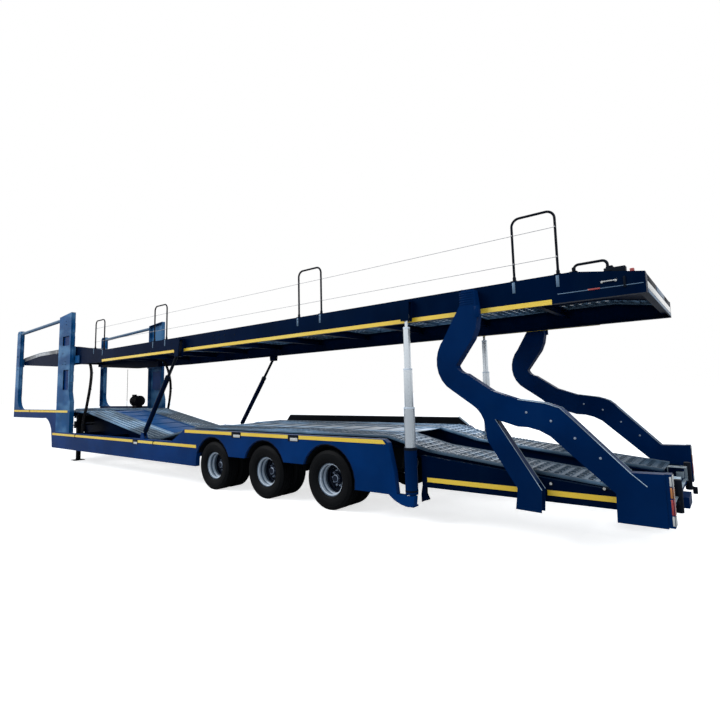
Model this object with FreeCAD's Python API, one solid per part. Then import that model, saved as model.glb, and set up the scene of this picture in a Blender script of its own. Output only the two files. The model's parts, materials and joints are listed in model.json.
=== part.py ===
"""Two-deck car transporter semi-trailer on three axles, parked on its landing legs.

Frame: +X forward, +Y to the trailer's left, +Z up, millimetres. The origin lies on the ground,
midway along the length and the width. A station is a distance behind the front face. Stations
of the front half are counted from the front, and those of the rear half from the tail.
"""
import FreeCAD
import Part
import math
import os

Vector = FreeCAD.Vector

# ---- overall ----
LENGTH = 16500.0
WIDTH = 2500.0
PLATE = 8.0                  # pressed plates
FLANGE = 80.0                # depth of the side plates' turned-in edges
CHANNEL = 60.0               # flange width of the cross members
ARC_TURN = math.radians(15)  # turn of each flat in a pressed curve
SHARP = 2                    # an offset outline keeps its corners sharp

# ---- running gear ----
TYRE_RADIUS = 398.5
TYRE_WIDTH = 235.0
TREAD_WIDTH = 190.0
RIM_RADIUS = 222.0
RIM_LIP_RADIUS = 243.0
RIM_WIDTH = 172.0
DISC_RADIUS = 152.0
HUB_RADIUS = 86.0
HUB_LENGTH = 118.0
SPINDLE_RADIUS = 45.0
SPINDLE_GAP = 0.5
TWIN_SPACING = 280.0         # centre to centre of a pair of tyres
WHEEL_INSET = 25.0           # outer sidewall behind the trailer's side
WHEEL_SIDES = 16             # flats round a wheel's rings
MIDDLE_AXLE = LENGTH - 5322.0
AXLE_SPACING = 1310.0
AXLE_BEAM = 127.0
BRAKE_RADIUS = 150.0
ARCH_RADIUS = 480.0
HANGER_FOOT = 500.0          # height of the spring hangers' lower ends
SPRING_EYE = 580.0           # height of the leaf packs' ends
SPRING_THICKNESS = 40.0

# ---- side frames ----
NECK_TOP = 1310.0
NECK_BOTTOM = 1087.0
NECK_END = 2250.0            # where the neck starts to curve down
LOW_START = 2950.0           # where the low frame's underside starts
LOW_BOTTOM = 355.0
LOW_TOP = 750.0
HUMP_START = LENGTH - 7900.0  # where the side plate climbs to the wheel deck
HUMP_TOP_START = LENGTH - 7470.0
HUMP_TOP = 985.0
HUMP_END = LENGTH - 2880.0
ARCH_BASE = 580.0            # lower edge between two arches
SKIRT_BOTTOM = 325.0         # lower edge behind the last arch

# ---- floors ----
TRACK_INSET = 230.0          # outer edge of a wheel track inside the trailer's side
TRACK_WIDTH = 620.0
TRACK_DEPTH = 32.0
TRACK_SKIN = 6.0
SLOT_PITCH = 740.0
SLOT_LENGTH = 200.0
SLOT_WIDTH = 170.0
NECK_FLOOR = 1262.0
LOW_FLOOR = 758.0
WHEEL_FLOOR = 1012.0
TAIL_FLOOR = 606.0
KNEE_FLOOR = 862.0
FLOOR_START = 60.0
RAMP_TOP = 4420.0
RISE_FOOT = LENGTH - 8740.0
LOW_FLAT = 360.0             # level run between the ramp's foot and the rise
RAMP_FOOT = RISE_FOOT - LOW_FLAT
RISE_TOP = LENGTH - 7420.0
FALL_TOP = LENGTH - 3150.0
FALL_KNEE = LENGTH - 2550.0
FLOOR_END = LENGTH - 260.0
FLOOR_GAP = 5.0              # between the ends of two floor sections
BEAM_OFFSET = 430.0          # main beam's web from the centre line
BEAM_FLANGE = 110.0
BEAM_EDGE = 12.0             # thickness of the main beams' flanges
BEAM_WEB = 10.0
BEAM_DEPTH = 190.0
BUTT_GAP = 0.3               # between the two lengths of a main beam
KERB_HEIGHT = 130.0

# ---- posts ----
POST_DEPTH = 100.0
CARRIAGE = 28.0              # plate between a post and the platform
RAIL_RADIUS = 42.0
RAIL_HEIGHT = 3540.0
RAIL_RISE = 85.0
FRONT_POST_TOP = RAIL_HEIGHT + 80.0
FRONT_POST_WIDTH = 270.0
FRONT_POST_FOOT = 600.0
LIFT_POST_START = 3150.0
LIFT_POST_END = 3880.0
LIFT_POST_FRONT_TOP = RAIL_HEIGHT + RAIL_RISE + 75.0
LIFT_POST_REAR_TOP = LIFT_POST_FRONT_TOP + 60.0
WINDOWS = (                  # station a, station b, height a, height b
    (3400.0, 3800.0, 2930.0, 3170.0),
    (3500.0, 3820.0, 1810.0, 2310.0))
RACK_WIDTH = 40.0            # toothed bars that the carriages lock into
RACK_DEPTH = 50.0
RACK_PITCH = 330.0
RACK_NOTCH = 90.0

# ---- platform and upper deck ----
PLATFORM_START = 60.0
PLATFORM_END = 3900.0
PLATFORM_TOP = 2890.0
PLATFORM_BOTTOM = 2450.0
PLATFORM_NOSE = 2620.0       # underside at the front
PLATFORM_LIP = 70.0
COLUMN_DEPTH = 118.0
DECK_GAP = 12.0              # between the deck's side and a rear column
DECK_HALF = WIDTH / 2 - COLUMN_DEPTH - DECK_GAP
DECK_START = 3975.0
DECK_TAPER_END = 5410.0
DECK_FRONT_TOP = 2886.0
DECK_TOP = 2700.0
DECK_BOTTOM = 2420.0
DECK_END = LENGTH - 110.0
DECK_RISE = 35.0             # the deck's highest line, above DECK_TOP
DECK_RISE_LENGTH = 640.0     # from there to the end
DECK_END_TOP = 2635.0
DECK_LIP = 70.0
DECK_MEMBERS = 11
DECK_MEMBER_DEPTH = 110.0
DECK_PIVOT = 4090.0          # station of the deck's hinge
DECK_PIVOT_Z = 2560.0
PIVOT_RADIUS = 30.0
PIVOT_GAP = 0.5

# ---- hand loops on the deck: station, width, height, bend ----
LOOP_TUBE = 14.0
LOOPS = (
    (DECK_START + 925.0, 460.0, 730.0, 110.0),
    (DECK_START + 3645.0, 460.0, 730.0, 110.0),
    (DECK_END - 4570.0, 460.0, 730.0, 110.0),
    (DECK_END - 1240.0, 460.0, 730.0, 110.0),
    (DECK_END - 626.0, 310.0, 106.0, 60.0))

# ---- deck cylinders ----
SLIDE_GAP = 0.5
EYE_HALF = 26.0              # half the length of the pin in a rod's eye
EYE_GAP = 6.0
CHEEK = 14.0                 # thickness of a clevis cheek
PIN_RADIUS = 16.0
LUG_RADIUS = 34.0
LUG_HALF = 20.0
LUG_GAP = 7.0                # between a lug and the cheeks beside it
STRUT_FOOT = LENGTH - 9020.0
STRUT_FOOT_Z = 830.0
STRUT_EYE = LENGTH - 7820.0
STRUT_EYE_Z = 2400.0
STRUT_BARREL_RADIUS = 44.0
STRUT_BARREL_LENGTH = 1430.0
STRUT_ROD_RADIUS = 27.0
STRUT_ROD_INSIDE = 770.0     # length of the rod inside the barrel
STRUT_Y = WIDTH / 2 - 62.0
RAM_STATION = LENGTH - 2710.0
RAM_FOOT_Z = 300.0
RAM_EYE_Z = 2500.0
RAM_BARREL_RADIUS = 76.0
RAM_BARREL_START = 345.0     # height of the barrel's closed end
RAM_BARREL_TOP = 898.0
RAM_END = 35.0               # thickness of that end
RAM_STAGES = (               # top height, radius, length left inside the one below
    (1383.0, 66.0, 165.0),
    (1853.0, 54.0, 255.0),
    (2365.0, 42.0, 255.0))
RAM_Y = WIDTH / 2 - RAM_BARREL_RADIUS - 2.0
CRADLE_START = HUMP_END - 120
CRADLE_TOP = RAM_BARREL_START - 8

# ---- rear columns and tail ----
BEAM_GAP = 27.0              # between a rear side beam and a column
REAR_BEAM_FACE = WIDTH / 2 - COLUMN_DEPTH - BEAM_GAP
REAR_BEAM_START = LENGTH - 2600.0
REAR_BEAM_END = LENGTH - 60.0
REAR_BEAM_BOTTOM = 430.0
REAR_BEAM_DEPTH = 60.0
TAIL_BLOCK_START = LENGTH - 479.0
TAIL_BLOCK_END = LENGTH - 84.0
TAIL_BLOCK_BOTTOM = 350.0
TAIL_BLOCK_TOP = 806.0
LAMP_DEPTH = 50.0
SILL_TOP = 512.0
SILL_BOTTOM = 420.0

# ---- trim, landing legs and coupling ----
STRIPE_DEPTH = 3.0
STRIPE_HALF = 26.0
HOSE_RADIUS = 40.0
LEG_STATION = 3330.0
LEG_OFFSET = 760.0
LEG_SIZE = 110.0
LEG_JOIN = 330.0             # height where the inner leg leaves the outer
LEG_SHAFT_Z = 900.0
LEG_SHAFT_RADIUS = 16.0
FOOT_PLATE = 12.0
KINGPIN_STATION = 1100.0
KINGPIN_PLATE = 14.0


# ---------------------------------------------------------------- building blocks

def x_at(station):
    """X of a station."""
    return LENGTH / 2 - station


def point(station, y, z):
    return Vector(x_at(station), y, z)


def box(station_a, station_b, y_a, y_b, z_a, z_b):
    """A block between two stations, two widths and two heights."""
    low_y = min(y_a, y_b)
    return Part.makeBox(abs(station_b - station_a), abs(y_b - y_a), z_b - z_a,
                        Vector(x_at(max(station_a, station_b)), low_y, z_a))


def outline_face(outline, y):
    """A flat face in the plane of Y from (station, height) corners.

    A corner with four numbers ends a curve, and its first two are a point that the curve
    passes. The curve is pressed in flats.
    """
    start = point(outline[0][0], y, outline[0][1])
    corners = [start]
    for corner in outline[1:]:
        end = point(corner[-2], y, corner[-1])
        if len(corner) == 4:
            arc = Part.Arc(start, point(corner[0], y, corner[1]), end).toShape()
            flats = math.ceil(arc.Length / arc.Curve.Radius / ARC_TURN)
            corners += arc.discretize(flats + 1)[1:-1]
        corners.append(end)
        start = end
    return Part.Face(Part.makePolygon(corners + [corners[0]]))


def slab(outline, y_a, y_b):
    """An outline in (station, height) carried across from one width to another."""
    low, high = sorted((y_a, y_b))
    return outline_face(outline, low).extrude(Vector(0, high - low, 0))


def pan(outline, outer, depth, edge=PLATE):
    """A plate with its edges turned in: outer is its face's Y, depth goes to the centre."""
    side = 1 if outer > 0 else -1
    solid = slab(outline, outer, outer - side * depth)
    inner = outline_face(outline, outer - side * PLATE).makeOffset2D(-edge, SHARP)
    return solid.cut(inner.extrude(Vector(0, -side * depth, 0)))


def mirrored(shape):
    """The same piece on the trailer's right."""
    return shape.mirror(Vector(0, 0, 0), Vector(0, 1, 0))


def rod(start, end, radius):
    """A round bar between two points."""
    return Part.makeCylinder(radius, (end - start).Length, start, end - start)


def polygon_solid(faces):
    """A closed solid from flat faces, each a list of corners."""
    sides = [Part.Face(Part.makePolygon(corners + [corners[0]])) for corners in faces]
    solid = Part.Solid(Part.Shell(sides))
    if solid.Volume < 0:
        solid.reverse()
    return solid


def ring_about(centre, along, radius, sides):
    """Corners of a regular outline across a direction; the radius is across its flats."""
    reference = Vector(0, 1, 0) if abs(along.y) < 0.9 else Vector(0, 0, 1)
    first = along.cross(reference).normalize()
    second = along.cross(first).normalize()
    half = math.pi / sides
    reach = radius / math.cos(half)
    corners = []
    for index in range(sides):
        angle = (2 * index + 1) * half
        corners.append(centre + first * (reach * math.cos(angle)) + second * (reach * math.sin(angle)))
    return corners


def flat_tube(path, radius, sides):
    """A bar of flat sides along a path, mitred at each of its points."""
    start = ring_about(path[0], (path[1] - path[0]).normalize(), radius, sides)
    rings = [start]
    for index in range(1, len(path)):
        along = (path[index] - path[index - 1]).normalize()
        normal = along
        if index + 1 < len(path):
            normal = along + (path[index + 1] - path[index]).normalize()
        ring = []
        for corner in rings[-1]:
            reach = (path[index] - corner).dot(normal) / along.dot(normal)
            ring.append(corner + along * reach)
        rings.append(ring)
    faces = [rings[0][::-1], rings[-1]]
    for here, there in zip(rings, rings[1:]):
        for k in range(sides):
            m = (k + 1) % sides
            faces.append([here[k], here[m], there[m], there[k]])
    return polygon_solid(faces)


def flat_bar(start, end, radius, sides=10):
    return flat_tube([start, end], radius, sides)


def rounded(points, steps, bend=None):
    """A path with its corners rounded, as wide as its runs allow or to one bend."""
    path = [points[0]]
    for before, corner, after in zip(points, points[1:], points[2:]):
        into = (corner - before).normalize()
        out = (after - corner).normalize()
        turn = into.getAngle(out)
        radius = bend or 0.45 * min((corner - before).Length, (after - corner).Length) / math.tan(turn / 2)
        entry = corner - into * (radius * math.tan(turn / 2))
        inward = (out - into * out.dot(into)).normalize()
        for step in range(steps + 1):
            angle = turn * step / steps
            path.append(entry + into * (radius * math.sin(angle))
                        + inward * (radius * (1 - math.cos(angle))))
    path.append(points[-1])
    return path


def flat_ring(profile, centre):
    """A ring of flat sides about a Y axis from (radius, offset) corners.

    The radii are across the flats, and one flat faces the ground. An offset runs along +Y.
    """
    half = math.pi / WHEEL_SIDES
    rows = []
    for index in range(WHEEL_SIDES):
        angle = (2 * index + 1) * half
        row = []
        for radius, offset in profile:
            reach = radius / math.cos(half)
            row.append(centre + Vector(reach * math.cos(angle), offset, reach * math.sin(angle)))
        rows.append(row)
    faces = []
    count = len(profile)
    for index in range(WHEEL_SIDES):
        here = rows[index]
        there = rows[(index + 1) % WHEEL_SIDES]
        for k in range(count):
            m = (k + 1) % count
            if profile[k][0] == 0 and profile[m][0] == 0:
                continue
            corners = [here[k], here[m]]
            if profile[m][0] > 0:
                corners.append(there[m])
            if profile[k][0] > 0:
                corners.append(there[k])
            faces.append(corners)
    return polygon_solid(faces)


def height_at(line, station):
    """Height of a broken line at a station."""
    for (s_a, z_a), (s_b, z_b) in zip(line, line[1:]):
        if s_a <= station <= s_b:
            return z_a + (z_b - z_a) * (station - s_a) / (s_b - s_a)
    return line[-1][1]


def lowered(line, drop):
    return [(station, height - drop) for station, height in line]


def channel(station, low, high, y_a, y_b, skin=PLATE):
    """A cross member: a channel with its open side to the rear."""
    front = station - skin / 2
    back = station + CHANNEL
    inside = station + skin / 2
    outline = [(front, low), (back, low), (back, low + skin), (inside, low + skin),
               (inside, high - skin), (back, high - skin), (back, high), (front, high)]
    return slab(outline, y_a, y_b)


def save(name, *shapes):
    """One node: its solids side by side in one file."""
    solids = []
    for shape in shapes:
        solids.extend(shape.Solids)
    Part.makeCompound(solids).exportStep("parts/" + name + ".step")


def save_pair(name, left):
    save(name + "_left", left)
    save(name + "_right", mirrored(left))


# ---------------------------------------------------------------- wheels and axles

def axle_stations():
    return [MIDDLE_AXLE + step * AXLE_SPACING for step in (-1, 0, 1)]


def wheel_plane():
    """Distance of a twin wheel's mating plane from the centre line."""
    return WIDTH / 2 - WHEEL_INSET - TYRE_WIDTH / 2 - TWIN_SPACING / 2


def seat_half():
    """Half the width of the ring where tyre and rim meet."""
    return RIM_WIDTH / 2 - 12


def tyre_profile(middle, outward):
    """Corners of a tyre's section about its middle plane; outward is 1 or -1."""
    bead = seat_half()
    belly = RIM_RADIUS + 0.55 * (TYRE_RADIUS - RIM_RADIUS)
    corners = ((RIM_RADIUS, -bead), (RIM_RADIUS, bead), (belly, TYRE_WIDTH / 2),
               (TYRE_RADIUS, TREAD_WIDTH / 2), (TYRE_RADIUS, -TREAD_WIDTH / 2),
               (belly, -TYRE_WIDTH / 2))
    return [(radius, middle + outward * offset) for radius, offset in corners]


def rim_profile(outward):
    """Corners of a pair of dished rims with their hub, about the mating plane."""
    middle = TWIN_SPACING / 2
    near = middle - RIM_WIDTH / 2
    far = middle + RIM_WIDTH / 2
    wall = 8.0
    disc = 12.0
    bore = SPINDLE_RADIUS + SPINDLE_GAP
    corners = ((0, HUB_LENGTH), (HUB_RADIUS - 16, HUB_LENGTH), (HUB_RADIUS, disc),
               (DISC_RADIUS, disc), (RIM_RADIUS - 2 * wall, near + wall),
               (RIM_RADIUS - wall, middle + seat_half()), (RIM_LIP_RADIUS, far),
               (RIM_RADIUS, middle + seat_half()), (RIM_RADIUS, -far),
               (BRAKE_RADIUS + 28, -far), (bore, -near), (bore, 70), (0, 70))
    return [(radius, outward * offset) for radius, offset in corners]


def wheels():
    for index, station in enumerate(axle_stations()):
        for side, outward in (("left", 1), ("right", -1)):
            name = side + "_" + str(index + 1)
            centre = point(station, outward * wheel_plane(), TYRE_RADIUS)
            half = TWIN_SPACING / 2
            outer = flat_ring(tyre_profile(half * outward, outward), centre)
            inner = flat_ring(tyre_profile(-half * outward, outward), centre)
            save("tyres_" + name, outer, inner)
            save("rims_" + name, flat_ring(rim_profile(outward), centre))


def axles():
    """Square beams with round spindles and brake plates."""
    pieces = []
    beam_end = wheel_plane() - TWIN_SPACING / 2 - RIM_WIDTH / 2
    half = AXLE_BEAM / 2
    for station in axle_stations():
        beam = box(station - half, station + half, -beam_end, beam_end,
                   TYRE_RADIUS - half, TYRE_RADIUS + half)
        for side in (1, -1):
            start = point(station, side * beam_end, TYRE_RADIUS)
            end = point(station, side * (wheel_plane() + 62), TYRE_RADIUS)
            plate_end = point(station, side * (beam_end + 14), TYRE_RADIUS)
            beam = beam.fuse(rod(start, end, SPINDLE_RADIUS))
            beam = beam.fuse(flat_bar(start, plate_end, BRAKE_RADIUS))
        pieces.append(beam.removeSplitter())
    save("axles", *pieces)


def suspension():
    """Hangers, leaf packs and the seats that hold them to the axles."""
    pieces = []
    stations = axle_stations()
    top = WHEEL_FLOOR - TRACK_DEPTH - BEAM_DEPTH
    low = TYRE_RADIUS + AXLE_BEAM / 2
    seat_top = low + 20
    reach = AXLE_SPACING / 2 - 61
    hangers = [stations[0] - AXLE_SPACING / 2] + [s + AXLE_SPACING / 2 for s in stations]
    for side in (1, -1):
        web = side * BEAM_OFFSET
        for station in hangers:
            pieces.append(slab([(station - 90, top), (station + 90, top),
                                (station + 45, HANGER_FOOT), (station - 45, HANGER_FOOT)],
                               web - 45, web + 45))
        for station in stations:
            under = SPRING_EYE - SPRING_THICKNESS / 2
            over = SPRING_EYE + SPRING_THICKNESS / 2
            spring = slab([(station - reach, under), (station, seat_top), (station + reach, under),
                           (station + reach, over), (station, seat_top + 1.5 * SPRING_THICKNESS),
                           (station - reach, over)], web - 38, web + 38)
            seat = box(station - 60, station + 60, web - 50, web + 50, low, seat_top + 4)
            pieces.append(spring.fuse(seat))
    save("suspension", *pieces)


# ---------------------------------------------------------------- chassis

def side_outline():
    """The side plate: neck, swan curve, low frame and hump with three arches."""
    first, middle, last = axle_stations()
    reach_base = math.sqrt(ARCH_RADIUS ** 2 - (ARCH_BASE - TYRE_RADIUS) ** 2)
    reach_low = math.sqrt(ARCH_RADIUS ** 2 - (TYRE_RADIUS - LOW_BOTTOM) ** 2)
    reach_skirt = math.sqrt(ARCH_RADIUS ** 2 - (TYRE_RADIUS - SKIRT_BOTTOM) ** 2)
    crown = TYRE_RADIUS + ARCH_RADIUS
    return [(0, NECK_BOTTOM), (NECK_END, NECK_BOTTOM), (2690, 1010, 2870, 800),
            (LOW_START, LOW_BOTTOM), (first - reach_low, LOW_BOTTOM),
            (first, crown, first + reach_base, ARCH_BASE),
            (middle - reach_base, ARCH_BASE), (middle, crown, middle + reach_base, ARCH_BASE),
            (last - reach_base, ARCH_BASE), (last, crown, last + reach_skirt, SKIRT_BOTTOM),
            (CRADLE_START, SKIRT_BOTTOM), (CRADLE_START, CRADLE_TOP), (HUMP_END, CRADLE_TOP),
            (HUMP_END - 30, HUMP_TOP - 380), (HUMP_END - 110, HUMP_TOP - 40),
            (HUMP_END - 170, HUMP_TOP), (HUMP_TOP_START, HUMP_TOP), (HUMP_START, LOW_TOP),
            (LIFT_POST_START, LOW_TOP), (LIFT_POST_START, NECK_TOP), (0, NECK_TOP)]


def side_frames():
    save_pair("side_frame", pan(side_outline(), WIDTH / 2, FLANGE))


def ram_feet():
    """Cradles under the side frames: a nosed plate, a seat and two cheeks round the foot's pin."""
    low = RAM_FOOT_Z - 95
    nose = [(CRADLE_START, CRADLE_TOP), (CRADLE_START, SKIRT_BOTTOM),
            (RAM_STATION - 145, low + 30, RAM_STATION - 10, low),
            (RAM_STATION + 66, low + 22), (RAM_STATION + 80, CRADLE_TOP)]
    mouth = box(RAM_STATION - 50, RAM_STATION + 50, WIDTH / 2 - FLANGE - 10, WIDTH / 2 - PLATE,
                RAM_FOOT_Z - 60, RAM_BARREL_START)
    left = pan(nose, WIDTH / 2, FLANGE).cut(mouth)
    inner = LUG_HALF + LUG_GAP
    outer = inner + CHEEK
    left = left.fuse(box(RAM_STATION - 60, RAM_STATION + 60, RAM_Y - outer, WIDTH / 2 - PLATE,
                         low + 2, low + 20))
    for side in (1, -1):
        left = left.fuse(box(RAM_STATION - 34, RAM_STATION + 34, RAM_Y + side * inner,
                             RAM_Y + side * outer, low + 2, RAM_FOOT_Z + 30))
    left = left.fuse(across(ram_at(RAM_FOOT_Z), (inner + outer) / 2, PIN_RADIUS, True))
    save("ram_feet", left, mirrored(left))


def floor_line():
    """(station, height) of the wheel tracks' upper face from the neck to the tail."""
    return [(FLOOR_START, NECK_FLOOR), (RAMP_TOP, NECK_FLOOR), (RAMP_FOOT, LOW_FLOOR),
            (RISE_FOOT, LOW_FLOOR), (RISE_TOP, WHEEL_FLOOR), (FALL_TOP, WHEEL_FLOOR),
            (FALL_KNEE, KNEE_FLOOR), (FLOOR_END, TAIL_FLOOR)]


def beam_outline():
    """A main beam seen from the side: it follows the floor with a deep low frame."""
    top = lowered(floor_line(), TRACK_DEPTH)
    top_end = top[-1]
    axle_low = WHEEL_FLOOR - TRACK_DEPTH - BEAM_DEPTH
    low = LOW_BOTTOM + 20
    neck = NECK_BOTTOM + 10
    return top + [(top_end[0], top_end[1] - 150), (FALL_KNEE, KNEE_FLOOR - TRACK_DEPTH - 380),
                  (HUMP_END - 60, 650), (HUMP_END - 360, axle_low), (HUMP_START + 500, axle_low),
                  (HUMP_START + 50, low), (LOW_START + 60, low), (2870, 820, 2300, neck),
                  (FLOOR_START, neck)]


def main_beams():
    """Two welded I-beams, butted behind the neck; the outline's edge is the flange."""
    outline = beam_outline()
    half = BEAM_FLANGE / 2
    butt = NECK_END + 150
    pieces = []
    for side in (1, -1):
        web = side * BEAM_OFFSET
        solid = slab(outline, web - half, web + half)
        for way in (1, -1):
            pocket = outline_face(outline, web + way * BEAM_WEB / 2).makeOffset2D(-BEAM_EDGE, SHARP)
            solid = solid.cut(pocket.extrude(Vector(0, way * half, 0)))
        hole = flat_bar(point(LEG_STATION, web - half, LEG_SHAFT_Z),
                        point(LEG_STATION, web + half, LEG_SHAFT_Z), LEG_SHAFT_RADIUS + 8, 6)
        for start, end in ((0, butt), (butt + BUTT_GAP, LENGTH)):
            run = box(start, end, web - half, web + half, 0, NECK_TOP)
            pieces.append(solid.cut(hole).common(run))
    save("main_beams", *pieces)


def spread(first, last, count):
    """Evenly spaced stations between two of them."""
    return [first + (last - first) * index / (count - 1) for index in range(count)]


def cross_members():
    """Channels between the side frames, split at the main beams' webs."""
    first, middle, last = axle_stations()
    side = WIDTH / 2 - PLATE
    neck = NECK_FLOOR - TRACK_DEPTH - BEAM_EDGE - 2
    low = LOW_FLOOR - TRACK_DEPTH - BEAM_EDGE - 2
    wheel = WHEEL_FLOOR - TRACK_DEPTH - BEAM_EDGE - 2
    gaps = [(first + middle) / 2, (middle + last) / 2, HUMP_END - 470]
    groups = (               # stations, top, depth, half width
        (spread(150, NECK_END, 3), neck, 90.0, side),
        (spread(LIFT_POST_START + 550, HUMP_START - 200, 4), low, 140.0, side),
        (gaps, wheel, 140.0, side),
        (spread(REAR_BEAM_START + 250, REAR_BEAM_END - 700, 2), 560.0, 85.0,
         REAR_BEAM_FACE - PLATE))
    pieces = []
    web = BEAM_WEB / 2
    for stations, top, depth, half in groups:
        for station in stations:
            for y_a, y_b in ((-half, -BEAM_OFFSET - web), (web - BEAM_OFFSET, BEAM_OFFSET - web),
                             (BEAM_OFFSET + web, half)):
                pieces.append(channel(station, top - depth, top, y_a, y_b))
    save("cross_members", *pieces)


# ---------------------------------------------------------------- floors

def strip(line, y_a, y_b, depth):
    """A floor strip under a broken line."""
    return slab(line + lowered(line, depth)[::-1], y_a, y_b)


def slots(line, y_a, y_b):
    """Upright cutters for the slots of a wheel track, in two rows along the line."""
    cutters = []
    length = line[-1][0] - line[0][0]
    count = int(length / SLOT_PITCH)
    for index in range(count):
        station = line[0][0] + length * (index + 0.5) / count
        height = height_at(line, station)
        for share in (0.28, 0.72):
            middle = y_a + (y_b - y_a) * share
            cutters.append(box(station - SLOT_LENGTH / 2, station + SLOT_LENGTH / 2,
                               middle - SLOT_WIDTH / 2, middle + SLOT_WIDTH / 2,
                               height - SLOT_LENGTH, height + SLOT_LENGTH))
    return cutters


def track(line, y_a, y_b, slotted):
    """One wheel track: a folded pan, with slots where it is open."""
    low, high = sorted((y_a, y_b))
    solid = strip(line, low, high, TRACK_DEPTH)
    hollow = strip(lowered(line, TRACK_SKIN), low + TRACK_SKIN, high - TRACK_SKIN, TRACK_DEPTH)
    solid = solid.cut(hollow)
    if slotted:
        solid = solid.cut(Part.makeCompound(slots(line, low, high)))
    return solid


def track_pair(line, slotted, outer=WIDTH / 2 - TRACK_INSET):
    inner = outer - TRACK_WIDTH
    return [track(line, side * inner, side * outer, slotted) for side in (1, -1)]


def centre_plates(line):
    """Plain plates between the two tracks."""
    inner = WIDTH / 2 - TRACK_INSET - TRACK_WIDTH - 12
    return [strip(lowered(line, 10), -inner, inner, TRACK_DEPTH - 10)]


def floors():
    line = floor_line()
    neck = [line[0], (RAMP_TOP - FLOOR_GAP, NECK_FLOOR)]
    front = line[1:4] + [(RISE_TOP - FLOOR_GAP, WHEEL_FLOOR)]
    wheel = [line[4], (FALL_TOP - FLOOR_GAP, WHEEL_FLOOR)]
    save("neck_floor", *track_pair(neck, False))
    save("front_tracks", *(track_pair(front, True) + centre_plates(front)))
    save("wheel_deck", *(track_pair(wheel, True) + centre_plates(wheel)))
    save("rear_tracks", *track_pair(line[5:], True))


def kerb_rail():
    """A raised rail along the right side of the wheel deck."""
    top = HUMP_TOP + KERB_HEIGHT
    outline = [(RISE_TOP, HUMP_TOP), (RISE_TOP + 120, top), (FALL_TOP - 100, top),
               (FALL_TOP + 70, HUMP_TOP)]
    save("kerb_rail", slab(outline, -WIDTH / 2 + 20, -WIDTH / 2 + 60))


# ---------------------------------------------------------------- posts and platform

def post_inside():
    """Inner edge of a post's flanges."""
    return WIDTH / 2 - POST_DEPTH


def rack(station, low, high):
    """A toothed bar on a post's rear edge; the teeth face the rear."""
    outline = [(station, low), (station + RACK_WIDTH, low)]
    tooth = RACK_WIDTH / 2
    height = low + RACK_PITCH / 2
    while height + RACK_NOTCH < high:
        outline += [(station + RACK_WIDTH, height), (station + tooth, height),
                    (station + tooth, height + RACK_NOTCH),
                    (station + RACK_WIDTH, height + RACK_NOTCH)]
        height += RACK_PITCH
    outline += [(station + RACK_WIDTH, high), (station, high)]
    return slab(outline, post_inside() + 10, post_inside() + 10 + RACK_DEPTH)


def front_posts():
    """Front posts, flared at the foot, with the side rail to the lift post."""
    outline = [(0, NECK_TOP), (0, FRONT_POST_TOP - 60), (60, FRONT_POST_TOP),
               (FRONT_POST_WIDTH, FRONT_POST_TOP), (FRONT_POST_WIDTH, NECK_TOP + 420),
               (330, NECK_TOP + 150, FRONT_POST_FOOT, NECK_TOP)]
    post = pan(outline, WIDTH / 2, POST_DEPTH)
    y = WIDTH / 2 - POST_DEPTH / 2
    rail = flat_bar(point(FRONT_POST_WIDTH - PLATE / 2, y, RAIL_HEIGHT),
                    point(LIFT_POST_START + PLATE / 2, y, RAIL_HEIGHT + RAIL_RISE), RAIL_RADIUS)
    stop = box(LIFT_POST_START, LIFT_POST_START + PLATE * 4, y - RAIL_RADIUS * 2,
               y + RAIL_RADIUS * 2, RAIL_HEIGHT - RAIL_RADIUS, RAIL_HEIGHT + RAIL_RADIUS * 4)
    bar = rack(FRONT_POST_WIDTH, NECK_TOP + 440, RAIL_HEIGHT - RAIL_RADIUS - 20)
    carriage = box(PLATFORM_START + 10, FRONT_POST_WIDTH, post_inside() - CARRIAGE, post_inside(),
                   PLATFORM_NOSE - 60, PLATFORM_NOSE + 160)
    save_pair("post_front", post.fuse(rail.cut(stop)).fuse(bar).fuse(carriage))


def lift_posts():
    """Lift posts: wide, with two windows, a skirt to the low frame, a rack and a carriage."""
    outline = [(LIFT_POST_START, LOW_TOP), (LIFT_POST_END + 105, LOW_TOP),
               (LIFT_POST_END + 95, 1500), (LIFT_POST_END, 1760),
               (LIFT_POST_END, LIFT_POST_REAR_TOP), (LIFT_POST_START, LIFT_POST_FRONT_TOP)]
    post = pan(outline, WIDTH / 2, POST_DEPTH)
    for station_a, station_b, low, high in WINDOWS:
        post = post.cut(box(station_a, station_b, WIDTH / 2 - 2 * PLATE, WIDTH / 2 + 10, low, high))
    inside = post_inside()
    carriage = box(LIFT_POST_START, LIFT_POST_END, inside - CARRIAGE, inside,
                   DECK_PIVOT_Z - 140, PLATFORM_TOP + 10)
    ear = box(LIFT_POST_END - PLATE, DECK_PIVOT + 70, inside - 20, inside,
              DECK_PIVOT_Z - 90, DECK_PIVOT_Z + 90)
    pin = rod(point(DECK_PIVOT, inside - 2, DECK_PIVOT_Z),
              point(DECK_PIVOT, DECK_HALF - 40, DECK_PIVOT_Z), PIVOT_RADIUS)
    bar = rack(LIFT_POST_END, 2000, LIFT_POST_REAR_TOP - 280)
    save_pair("post_lift", post.fuse(carriage).fuse(ear).fuse(pin).fuse(bar))


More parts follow.
